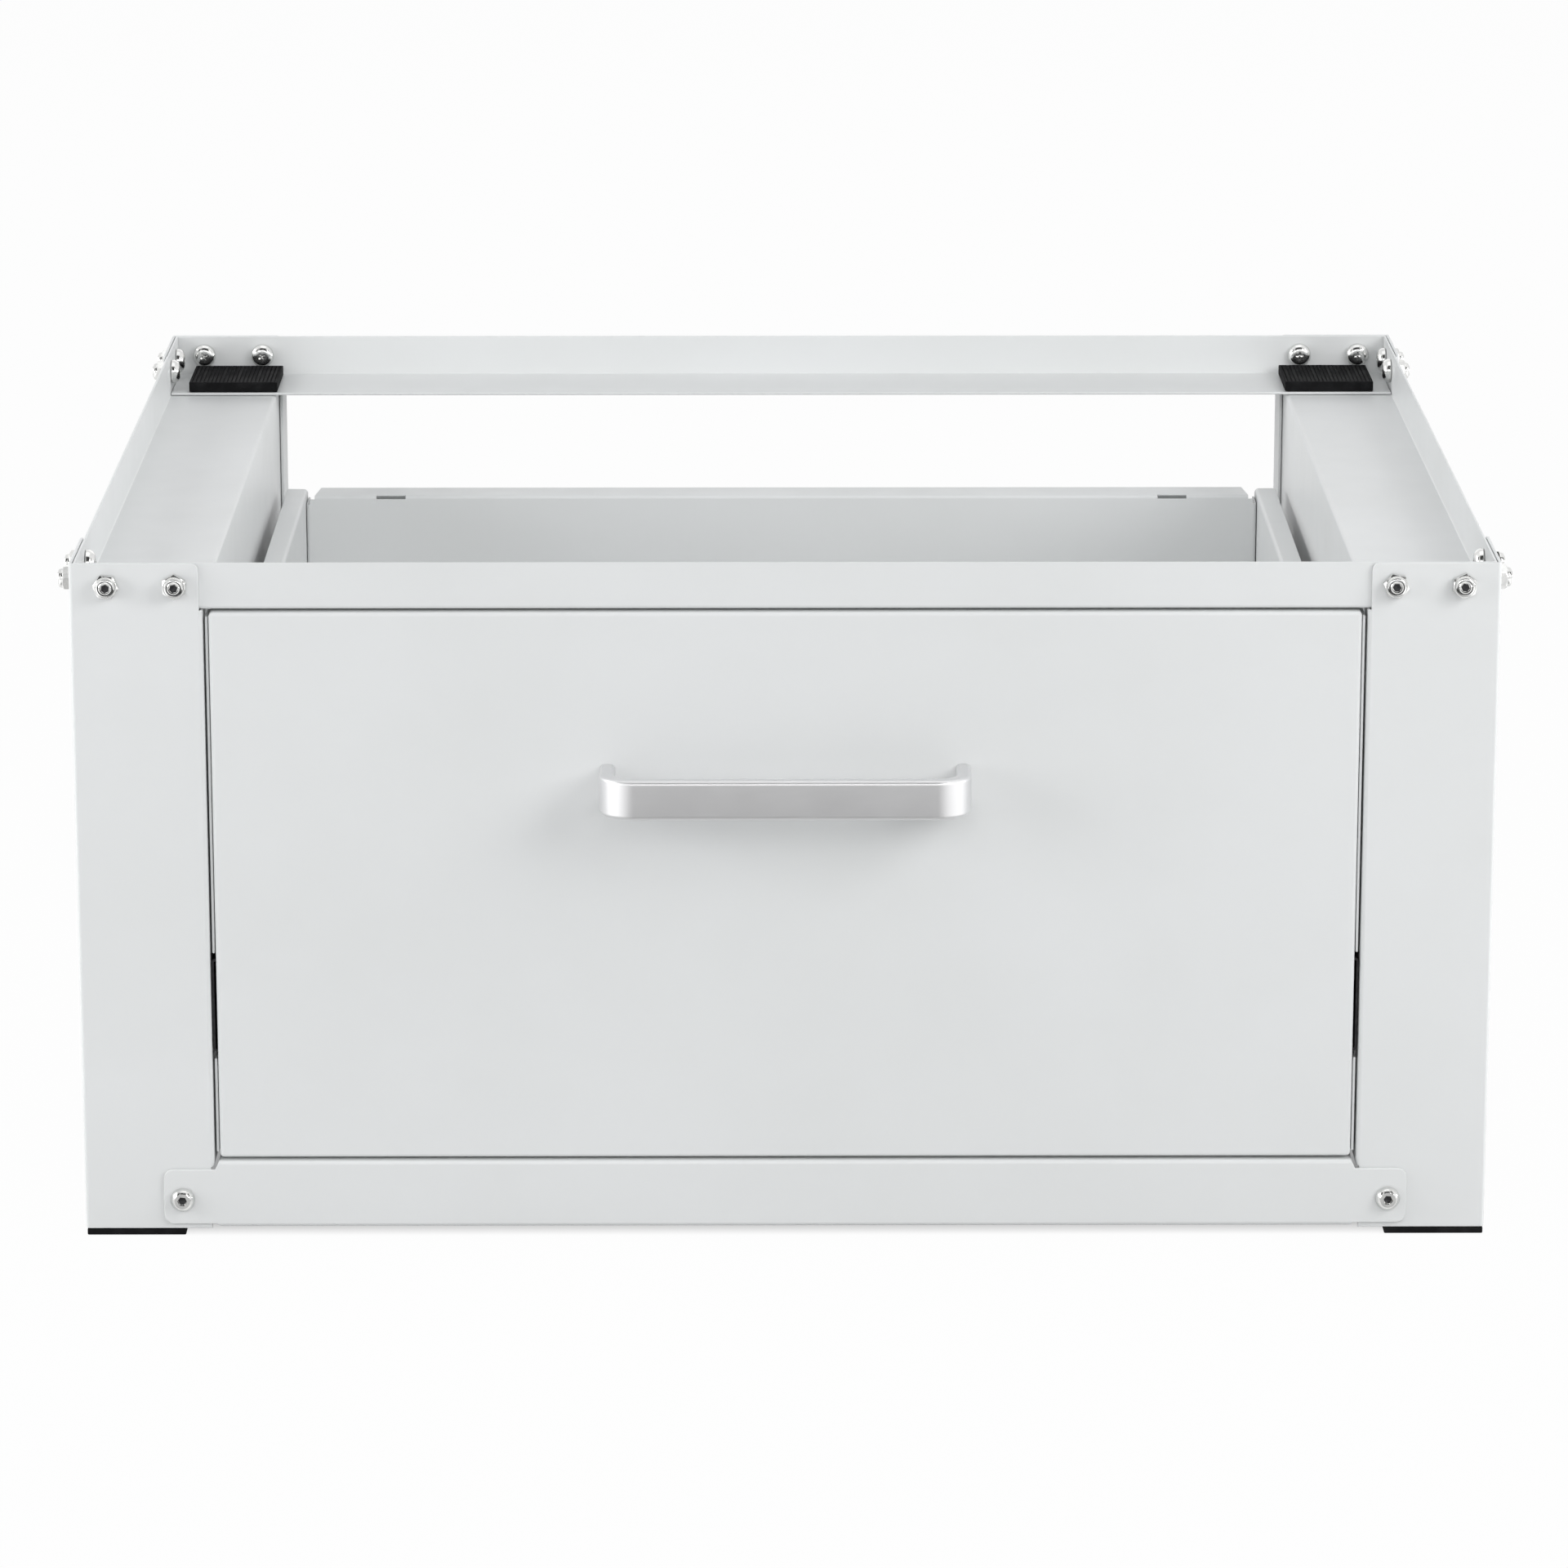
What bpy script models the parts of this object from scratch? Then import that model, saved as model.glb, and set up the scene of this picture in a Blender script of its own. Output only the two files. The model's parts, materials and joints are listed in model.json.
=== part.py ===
"""Washing machine pedestal of folded steel sheet, with one drawer on telescopic ball runners.

Bench coordinates: x from the middle of the pedestal, y from the posts' front faces to the rear,
z up from the floor. An empty named pedestal carries everything and moves the bench's origin to the
middle of the pedestal's own outline. Lengths are metres. A piece is made for the front right corner
or the right side, and the other ones are its mirror images.
"""

import math

import bmesh
import bpy
from mathutils import Matrix, Vector

# Frame, outside its sheet metal
FRAME_WIDTH = 0.630
FRAME_DEPTH = 0.540
FRAME_HEIGHT = 0.310

# Gaps between pieces, and how far a cutter runs past what it cuts
GAP = 0.0003
OVERRUN = 0.002

# Sheet metal
POST_SHEET = 0.0015
RAIL_SHEET = 0.0012
DRAWER_SHEET = 0.0010
BEND_RADIUS = 0.0018
BEND_STEPS = 3

# Corner posts
POST_FACE = 0.0585
POST_SIDE = 0.058
POST_RETURN = 0.031
EAR_SETBACK = 0.0015
EAR_RADIUS = 0.003
POST_NOTCH_RISE = 0.0006
POST_NOTCH_RADIUS = 0.0015
FOOT_PLATE_DEPTH = 0.047
FOOT_PLATE_INSET = 0.003

# Top rails
LIP_HEIGHT = 0.0198
RAIL_REACH = 0.054
PANEL_BELOW_RUNNER = 0.0158
PANEL_FOLD = 0.012

# Bottom rails
BOTTOM_RAIL_BASE = 0.0044
BOTTOM_RAIL_HEIGHT = 0.0309
BOTTOM_RAIL_DEPTH = 0.030
TAB_LENGTH = 0.023
TAB_TOP_DROP = 0.0039
TAB_BASE_RISE = 0.0015
TAB_SLANT = 0.0018
TAB_RADIUS = 0.004

# Rubber feet and machine pads
FOOT_SIDE = 0.0445
FOOT_THICKNESS = 0.003
FOOT_INSET = 0.0005
FOOT_EDGE = 0.0008
PAD_SIDE = 0.045
PAD_THICKNESS = 0.005
PAD_FROM_SIDE = 0.0125
PAD_FROM_END = 0.0078
PAD_RIB_PITCH = 0.003
PAD_RIB_WIDTH = 0.0018
PAD_RIB_HEIGHT = 0.0008

# Top bolts: pan heads inside the lips, locknuts outside the posts
BOLT_RADIUS = 0.003
BOLT_HEAD_RADIUS = 0.006
BOLT_HEAD_HEIGHT = 0.0042
BOLT_FROM_EDGE = 0.0165
BOLT_SPACING = 0.030
BOLT_DROP = 0.010
BOLT_TIP = 0.0005
NUT_FLATS = 0.010
NUT_HEIGHT = 0.0055

# Bottom rail screws: heads outside, nuts behind
TAB_SCREW_FROM_END = 0.0085
TAB_SCREW_HEIGHT = 0.0175
TAB_HEAD_RADIUS = 0.0055
TAB_HEAD_HEIGHT = 0.0033

# Drawer front
FRONT_SIDE_GAP = 0.0025
FRONT_TOP_GAP = 0.0012
FRONT_BASE_GAP = 0.0013
FRONT_SHEET = 0.0012
FRONT_RETURN = 0.018
FRONT_EDGE_RADIUS = 0.0018
FRONT_HEM_OPENING = 0.0004
FRONT_HEM_START = 0.0022

# Drawer box
DRAWER_BASE = 0.040
DRAWER_RIM_DROP = 0.0458
DRAWER_SIDE_LENGTH = 0.4785
DRAWER_BACK_PLACE = 0.460
DRAWER_LEDGE = 0.018
DRAWER_FRONT_FLANGE = 0.015
BACK_RIM_FLANGE = 0.0205
BACK_RIM_LIP = 0.012
BACK_SIDE_FLANGE = 0.018
BACK_BASE_FLANGE = 0.015
BACK_MITRE = 0.002
FLOOR_FLANGE = 0.012
CORNER_RELIEF = 0.0025
SLOT_LENGTH = 0.0147
SLOT_FROM_END = 0.0431
SLOT_DEPTH = 0.0015

# Handle
HANDLE_WIDTH = 0.164
HANDLE_REACH = 0.031
HANDLE_TALL = 0.018
HANDLE_THICKNESS = 0.0065
HANDLE_MIDDLE_HEIGHT = 0.210
HANDLE_CORNER_RADIUS = 0.012
HANDLE_EDGE = 0.002
HANDLE_BEND_STEPS = 5
HANDLE_SCREW_DEPTH = 0.009

# Telescopic runner
RUNNER_TALL = 0.045
RUNNER_THICKNESS = 0.0127
RUNNER_LENGTH = 0.450
RUNNER_SETBACK = 0.003
RUNNER_MIDDLE_HEIGHT = 0.107
RUNNER_TRAVEL = 0.450
CABINET_SHEET = 0.0012
MIDDLE_SHEET = 0.0010
INNER_SHEET = 0.0012
MIDDLE_SHORTER = 0.005
INNER_SHORTER = 0.003
BALL_RADIUS = 0.0014
BALL_PITCH = 0.040
BALLS_IN_ROW = 5
CAGE_SHEET = 0.0006
CAGE_CLEARANCE = 0.0004
CAGE_END = 0.008
INNER_CAGE_CLEARANCE = 0.0007
RACE_STEPS = 5

# Small screws and rivets
SCREW_RADIUS = 0.002
SCREW_HEAD_RADIUS = 0.0038
SCREW_HEAD_HEIGHT = 0.0024
SPACER_RADIUS = 0.005
RIVET_RADIUS = 0.0016
RIVET_HEAD_RADIUS = 0.0033
RIVET_HEAD_HEIGHT = 0.0011
RIVET_TAIL_RADIUS = 0.0022
RIVET_TAIL_HEIGHT = 0.0016

# Where the small screws and rivets sit, as shares of the length that they fix
RUNNER_SCREW_SHARES = (0.031, 0.48, 0.94)
DRAWER_SCREW_SHARES = (0.08, 0.94)
BACK_RIVET_SHARES = (0.12, 0.60, 0.86)
FLOOR_RIVET_SHARES = (0.10, 0.50, 0.90)
FLOOR_RIVET_ACROSS_SHARE = 0.5

# How far a ball cage travels, as a share of the drawer's own travel
OUTER_CAGE_SHARE = 0.25
INNER_CAGE_SHARE = 0.75

# A domed head: radius and height along its outline, as shares of the head's own
DOME_SHARES = ((0.0, 1.0), (0.72, 0.8), (1.0, 0.0))

# Sides that a turned or bored round gets
HEAD_SIDES = 12
SHANK_SIDES = 8
BALL_SEGMENTS = 6
BALL_RINGS = 4

# Places worked out from the sizes above
POST_OUT = FRAME_WIDTH / 2
POST_IN = POST_OUT - POST_FACE
FOOT_TOP = FOOT_THICKNESS + GAP
LIP_FACE = POST_SHEET + GAP
LIP_BACK = LIP_FACE + RAIL_SHEET
RAIL_BASE = FRAME_HEIGHT - LIP_HEIGHT - RAIL_SHEET
SHELF_TOP = RAIL_BASE - GAP
SHELF_BASE = SHELF_TOP - RAIL_SHEET
PANEL_FACE = POST_IN + POST_SHEET + GAP
PANEL_BASE = RUNNER_MIDDLE_HEIGHT - RUNNER_TALL / 2 - PANEL_BELOW_RUNNER
LAP = RAIL_SHEET + GAP
BOTTOM_RAIL_TOP = BOTTOM_RAIL_BASE + BOTTOM_RAIL_HEIGHT
TAB_TOP = BOTTOM_RAIL_TOP - TAB_TOP_DROP
POST_NOTCH_TOP = TAB_TOP + POST_NOTCH_RISE
TAB_END = POST_IN + TAB_LENGTH
NUT_REACH = GAP + NUT_HEIGHT + BOLT_TIP
BOLT_HEIGHT = FRAME_HEIGHT - BOLT_DROP
CABINET_FACE = POST_IN - GAP
WALL_FACE = CABINET_FACE - RUNNER_THICKNESS - GAP
WALL_INSIDE = WALL_FACE - DRAWER_SHEET
FRONT_HALF = POST_IN - FRONT_SIDE_GAP
FRONT_TOP = RAIL_BASE - FRONT_TOP_GAP
FRONT_BASE = BOTTOM_RAIL_TOP + FRONT_BASE_GAP
DRAWER_RIM = FRONT_TOP - DRAWER_RIM_DROP
SIDE_START = FRONT_SHEET + GAP
DRAWER_RIM_FLANGE = FRONT_HALF - FRONT_SHEET - GAP - WALL_INSIDE
FLOOR_BASE = DRAWER_BASE + DRAWER_SHEET + GAP
FLOOR_START = SIDE_START + DRAWER_SHEET + GAP
BACK_FACE = DRAWER_BACK_PLACE
HANDLE_ROOT = HANDLE_WIDTH / 2 - HANDLE_THICKNESS / 2
BENCH_Y = (HANDLE_REACH - FRAME_DEPTH - NUT_REACH) / 2

# Runner section: across is from the cabinet face to the drawer, up is from the runner's middle
BALL_REACH = BALL_RADIUS + GAP
OUTER_CAGE_ACROSS = CABINET_SHEET + CAGE_CLEARANCE + CAGE_SHEET / 2
MIDDLE_WEB_ACROSS = OUTER_CAGE_ACROSS + CAGE_SHEET / 2 + CAGE_CLEARANCE + MIDDLE_SHEET / 2
OUTER_BALL_ACROSS = MIDDLE_WEB_ACROSS + MIDDLE_SHEET / 2 + BALL_RADIUS
OUTER_BALL_UP = RUNNER_TALL / 2 - CABINET_SHEET - BALL_REACH
MIDDLE_RACE = BALL_REACH + MIDDLE_SHEET / 2
MIDDLE_CREST_UP = OUTER_BALL_UP - MIDDLE_RACE
INNER_CAGE_ACROSS = MIDDLE_WEB_ACROSS + MIDDLE_SHEET / 2 + INNER_CAGE_CLEARANCE + CAGE_SHEET / 2
INNER_BALL_ACROSS = (RUNNER_THICKNESS - INNER_SHEET - CAGE_CLEARANCE - MIDDLE_SHEET - BALL_REACH)
INNER_BALL_UP = MIDDLE_CREST_UP - MIDDLE_RACE
INNER_WEB_ACROSS = RUNNER_THICKNESS - INNER_SHEET / 2

BENCH = bpy.data.collections.new("washing_machine_pedestal")
CUTTERS = bpy.data.collections.new("cutters")


def plan(p, q, r):
    """A path drawn in plan, run upwards."""
    return Vector((p, q, r))


def end_on(p, q, r):
    """A path drawn front to back and up, run across the pedestal."""
    return Vector((r, p, q))


def side_on(p, q, r):
    """A path drawn across and up, run front to back."""
    return Vector((p, r, q))


def clear_scene():
    """Remove what the scene starts with, and add the two collections."""
    for old in list(bpy.data.objects):
        bpy.data.objects.remove(old)
    for collection in (BENCH, CUTTERS):
        bpy.context.scene.collection.children.link(collection)


def material(name, colour, roughness, metallic):
    """A Principled BSDF material."""
    made = bpy.data.materials.new(name)
    made.use_nodes = True
    shader = made.node_tree.nodes["Principled BSDF"]
    shader.inputs["Base Color"].default_value = (*colour, 1)
    shader.inputs["Roughness"].default_value = roughness
    shader.inputs["Metallic"].default_value = metallic
    made.diffuse_color = (*colour, 1)
    return made


def worked(mesh, *modifiers):
    """The mesh that the modifiers, given as pairs of type and settings, make of a mesh."""
    blank = bpy.data.objects.new("blank", mesh)
    BENCH.objects.link(blank)
    for kind, settings in modifiers:
        modifier = blank.modifiers.new(kind, kind)
        for setting, value in settings.items():
            setattr(modifier, setting, value)
    bpy.context.view_layer.update()
    graph = bpy.context.evaluated_depsgraph_get()
    result = bpy.data.meshes.new_from_object(blank.evaluated_get(graph))
    bpy.data.objects.remove(blank)
    return outward(result)


def outward(mesh):
    """Weld a closed mesh's doubles and point its faces outwards."""
    shape = bmesh.new()
    shape.from_mesh(mesh)
    bmesh.ops.remove_doubles(shape, verts=shape.verts, dist=GAP / 100)
    bmesh.ops.recalc_face_normals(shape, faces=shape.faces)
    shape.to_mesh(mesh)
    shape.free()
    return mesh


def mesh_of(shape, name="shape"):
    """Turn a bmesh into a mesh and free it."""
    mesh = bpy.data.meshes.new(name)
    shape.to_mesh(mesh)
    shape.free()
    return mesh


def joined(meshes):
    """One mesh that holds several, each still a body of its own."""
    shape = bmesh.new()
    for mesh in meshes:
        shape.from_mesh(mesh)
    return mesh_of(shape)


def moved(mesh, matrix):
    """A copy of a mesh, moved or mirrored by a matrix, with its faces still outwards."""
    copy = mesh.copy()
    copy.transform(matrix)
    if matrix.determinant() < 0:
        copy.flip_normals()
    return copy


def box(low, high):
    """A box between two corners."""
    low, high = Vector(low), Vector(high)
    shape = bmesh.new()
    place = Matrix.Translation((low + high) / 2) @ Matrix.Diagonal((*(high - low), 1))
    bmesh.ops.create_cube(shape, size=1, matrix=place)
    return mesh_of(shape)


def rod(start, end, radius, sides):
    """A round rod, or with six sides a hexagonal one, between two points."""
    start, end = Vector(start), Vector(end)
    run = end - start
    shape = bmesh.new()
    place = Matrix.Translation((start + end) / 2) @ run.to_track_quat("Z", "Y").to_matrix().to_4x4()
    bmesh.ops.create_cone(shape, cap_ends=True, segments=sides, radius1=radius, radius2=radius,
                          depth=run.length, matrix=place)
    return mesh_of(shape)


def ball(centre):
    """One ball of a runner."""
    shape = bmesh.new()
    bmesh.ops.create_uvsphere(shape, u_segments=BALL_SEGMENTS, v_segments=BALL_RINGS,
                              radius=BALL_RADIUS, matrix=Matrix.Translation(centre))
    return mesh_of(shape)


def turned(outline, sides):
    """A solid turned round the z axis from an outline of (radius, height), top to bottom."""
    shape = bmesh.new()
    points = [shape.verts.new((radius, 0, height)) for radius, height in outline]
    for first, second in zip(points, points[1:]):
        shape.edges.new((first, second))
    screw = {"steps": sides, "render_steps": sides, "use_merge_vertices": True,
             "merge_threshold": GAP / 100}
    return worked(mesh_of(shape), ("SCREW", screw))


def slab(outline, place, low, high):
    """A closed flat outline (p, q), run along the third direction from low to high."""
    curve = bpy.data.curves.new("outline", "CURVE")
    curve.dimensions = "2D"
    curve.fill_mode = "BOTH"
    curve.extrude = (high - low) / 2
    spline = curve.splines.new("POLY")
    spline.points.add(len(outline) - 1)
    for point, (p, q) in zip(spline.points, outline):
        point.co = (p, q, 0, 1)
    spline.use_cyclic_u = True
    blank = bpy.data.objects.new("outline", curve)
    CUTTERS.objects.link(blank)
    bpy.context.view_layer.update()
    graph = bpy.context.evaluated_depsgraph_get()
    mesh = bpy.data.meshes.new_from_object(blank.evaluated_get(graph))
    bpy.data.objects.remove(blank)
    for vertex in mesh.vertices:
        p, q, run = vertex.co
        vertex.co = place(p, q, run + (low + high) / 2)
    return outward(mesh)


def combined(mesh, operation, tools):
    """Cut, join or trim a mesh by several closed tool meshes."""
    tool = bpy.data.objects.new("cutter", joined(tools))
    tool.hide_render = True
    tool.display_type = "WIRE"
    CUTTERS.objects.link(tool)
    result = worked(mesh, ("BOOLEAN", {"object": tool, "operation": operation, "solver": "EXACT"}))
    bpy.data.objects.remove(tool)
    return result


def arc(centre, radius, start, end, steps):
    """Points on an arc round a centre, from one angle in degrees to another."""
    points = []
    for step in range(steps + 1):
        angle = math.radians(start + (end - start) * step / steps)
        points.append((centre[0] + radius * math.cos(angle), centre[1] + radius * math.sin(angle)))
    return points


def rounded(corners, radii, steps=BEND_STEPS):
    """An open path through the corners, with each inner corner rounded by its own radius."""
    path = [tuple(corners[0])]
    for before, corner, after, radius in zip(corners, corners[1:], corners[2:], radii):
        corner = Vector(corner)
        back = (Vector(before) - corner).normalized()
        ahead = (Vector(after) - corner).normalized()
        half = back.angle(ahead) / 2
        centre = corner + (back + ahead).normalized() * radius / math.sin(half)
        first = corner + back * radius / math.tan(half) - centre
        last = corner + ahead * radius / math.tan(half) - centre
        turn = math.atan2(first.x * last.y - first.y * last.x, first.dot(last))
        for step in range(steps + 1):
            swing = Matrix.Rotation(turn * step / steps, 2)
            path.append(tuple(centre + swing @ first))
    path.append(tuple(corners[-1]))
    return path


def strip(path, place, low, high, sheet, side=1):
    """Folded sheet of one section, run from low to high.

    The path is the sheet's face, and its thickness grows to the left of the path for side 1, to
    the right for -1, and to both sides for 0.
    """
    shape = bmesh.new()
    points = [shape.verts.new(place(p, q, low)) for p, q in path]
    for first, second in zip(points, points[1:]):
        shape.edges.new((first, second))
    pulled = bmesh.ops.extrude_edge_only(shape, edges=shape.edges[:])["geom"]
    run = place(0, 0, high) - place(0, 0, low)
    bmesh.ops.translate(shape, vec=run, verts=[v for v in pulled if isinstance(v, bmesh.types.BMVert)])
    shape.normal_update()
    shape.faces.ensure_lookup_table()
    first = Vector(path[1]) - Vector(path[0])
    left = place(-first.y, first.x, 0) - place(0, 0, 0)
    near = min(shape.faces, key=lambda f: (f.calc_center_median() - points[0].co).length)
    if near.normal.dot(left) < 0:
        bmesh.ops.reverse_faces(shape, faces=shape.faces)
    return worked(mesh_of(shape), ("SOLIDIFY", {"thickness": sheet, "offset": side,
                                                "use_even_offset": True}))


def tray(size_u, size_v, flanges, sheet, relief=CORNER_RELIEF):
    """A flat sheet with flanges bent off some of its edges.

    The sheet lies in u and v from zero to its size, and its thickness grows to +w. A flange is
    keyed by its edge (u0, u1, v0 or v1) and given as (length, side, mitre, lip): side 1 bends it to
    +w, -1 to -w, mitre draws its free corners in, and lip is the length of a second fold that turns
    its free edge back over the sheet's own plane.
    """
    reach = {edge: BEND_RADIUS if edge in flanges else 0 for edge in ("u0", "u1", "v0", "v1")}
    low_u, high_u = reach["u0"], size_u - reach["u1"]
    low_v, high_v = reach["v0"], size_v - reach["v1"]
    corners = {"v0": ((low_u, low_v), (high_u, low_v), (0, -1)),
               "u1": ((high_u, low_v), (high_u, high_v), (1, 0)),
               "v1": ((high_u, high_v), (low_u, high_v), (0, 1)),
               "u0": ((low_u, high_v), (low_u, low_v), (-1, 0))}
    shape = bmesh.new()
    ring = []
    folds = {}
    for edge, (start, end, out) in corners.items():
        start, end, out = Vector((*start, 0)), Vector((*end, 0)), Vector((*out, 0))
        ring.append(shape.verts.new(start))
        if edge in flanges:
            along = (end - start).normalized()
            pair = (shape.verts.new(start + along * relief), shape.verts.new(end - along * relief))
            ring.extend(pair)
            folds[edge] = (pair, along, out)
    shape.faces.new(ring)
    for edge, (pair, along, out) in folds.items():
        length, side, mitre, lip = flanges[edge]
        hinge = [vertex.co.copy() for vertex in pair]
        turn = Vector((0, 0, side))
        radius = BEND_RADIUS if side > 0 else BEND_RADIUS - sheet
        rows = []
        for step in range(1, BEND_STEPS + 1):
            angle = math.pi / 2 * step / BEND_STEPS
            move = (out * math.sin(angle) + turn * (1 - math.cos(angle))) * radius
            rows.append((move, 0))
        rows.append((out * radius + turn * length, mitre))
        if lip:
            rows.append((out * (radius - lip) + turn * length, mitre))
        line = shape.edges.get(pair)
        for move, draw in rows:
            pulled = bmesh.ops.extrude_edge_only(shape, edges=[line])["geom"]
            line = next(e for e in pulled if isinstance(e, bmesh.types.BMEdge))
            ends = sorted(line.verts, key=lambda v: v.co.dot(along))
            for vertex, start, inwards in zip(ends, hinge, (1, -1)):
                vertex.co = start + move + along * draw * inwards
    bmesh.ops.recalc_face_normals(shape, faces=shape.faces)
    shape.faces.ensure_lookup_table()
    if shape.faces[0].normal.z < 0:
        bmesh.ops.reverse_faces(shape, faces=shape.faces)
    return worked(mesh_of(shape), ("SOLIDIFY", {"thickness": sheet, "offset": 1,
                                                "use_even_offset": True}))


def corner_cutter(corner, away, radius, place, low, high):
    """Cutter that rounds an outside corner; away holds the signs of the way off the sheet."""
    sign_p, sign_q = away
    centre = (corner[0] - sign_p * radius, corner[1] - sign_q * radius)
    outline = [(corner[0] + sign_p * OVERRUN, corner[1] + sign_q * OVERRUN),
               (centre[0], corner[1] + sign_q * OVERRUN)]
    for p, q in arc((0, 0), radius, 90, 0, BEND_STEPS):
        outline.append((centre[0] + sign_p * p, centre[1] + sign_q * q))
    outline.append((corner[0] + sign_p * OVERRUN, centre[1]))
    return slab(outline, place, low, high)


def mirror(x=1, y=1):
    """Matrix that mirrors a bench piece left to right, front to rear, or both."""
    rear = Matrix.Translation((0, FRAME_DEPTH if y < 0 else 0, 0))
    return rear @ Matrix.Diagonal((x, y, 1, 1))


CORNERS = {"front_left": (-1, 1), "front_right": (1, 1), "rear_left": (-1, -1), "rear_right": (1, -1)}
SIDES = {"left": -1, "right": 1}
ENDS = {"front": 1, "rear": -1}


class Bench:
    """Names, places and parents the finished pieces."""

    def __init__(self):
        self.root = bpy.data.objects.new("pedestal", None)
        self.root.location = (0, BENCH_Y, 0)
        BENCH.objects.link(self.root)
        self.carriers = {"frame": self.empty("frame", (0, 0, 0))}

    def empty(self, name, place):
        """An empty that carries the pieces of one moving group."""
        made = bpy.data.objects.new(name + "_carrier", None)
        made.parent = self.root
        made.location = place
        BENCH.objects.link(made)
        return made

    def carrier(self, name, place):
        """Add a moving group whose empty lies on its line of travel."""
        self.carriers[name] = self.empty(name, place)

    def add(self, name, mesh, finish, carrier="frame", smooth=35):
        """Add a finished piece, with its origin at the middle of its own box."""
        corners = [vertex.co for vertex in mesh.vertices]
        low = Vector([min(point[axis] for point in corners) for axis in range(3)])
        high = Vector([max(point[axis] for point in corners) for axis in range(3)])
        middle = (low + high) / 2
        mesh.transform(Matrix.Translation(-middle))
        mesh.name = name
        mesh.materials.clear()
        mesh.materials.append(finish)
        mesh.shade_smooth()
        mesh.set_sharp_from_angle(angle=math.radians(smooth))
        piece = bpy.data.objects.new(name, mesh)
        piece.parent = self.carriers[carrier]
        piece.location = middle - piece.parent.location
        BENCH.objects.link(piece)
        return piece


def domed(radius, height):
    """A domed head turned round z, its flat underside at zero."""
    outline = [(radius * across, height * up) for across, up in DOME_SHARES]
    return turned(outline + [(0, 0)], HEAD_SIDES)


def screw_of(radius, height, shank, length):
    """A screw: its domed head above zero and its plain shank below."""
    stem = rod((0, 0, -length), (0, 0, height / 2), shank, SHANK_SIDES)
    return combined(domed(radius, height), "UNION", [stem])


def aimed(place, direction):
    """Matrix that stands a fastener at a place with its head towards a direction."""
    turn = Vector(direction).to_track_quat("Z", "Y").to_matrix().to_4x4()
    return Matrix.Translation(place) @ turn


def hole(place, direction, radius):
    """Cutter for a clearance hole through sheet that lies at a place."""
    reach = Vector(direction) * OVERRUN * 3
    return rod(Vector(place) - reach, Vector(place) + reach, radius + GAP, SHANK_SIDES)


def top_bolt_spots():
    """Where the front right corner's top bolts cross the frame's faces, with the way outwards."""
    across = [POST_OUT - BOLT_FROM_EDGE - BOLT_SPACING * step for step in range(2)]
    along = [BOLT_FROM_EDGE + BOLT_SPACING * step for step in range(2)]
    front = [((x, 0, BOLT_HEIGHT), (0, -1, 0)) for x in across]
    side = [((POST_OUT, y, BOLT_HEIGHT), (1, 0, 0)) for y in along]
    return front + side


def tab_screw_spot():
    """Where the front right bottom rail screw crosses the post's face."""
    return (TAB_END - TAB_SCREW_FROM_END, 0, TAB_SCREW_HEIGHT)


def runner_screw_places():
    """How far back the screws of the cabinet member sit."""
    return [RUNNER_SETBACK + RUNNER_LENGTH * share for share in RUNNER_SCREW_SHARES]


def drawer_screw_places():
    """How far back the screws of the drawer member sit."""
    return [RUNNER_SETBACK + RUNNER_LENGTH * share for share in DRAWER_SCREW_SHARES]


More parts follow.
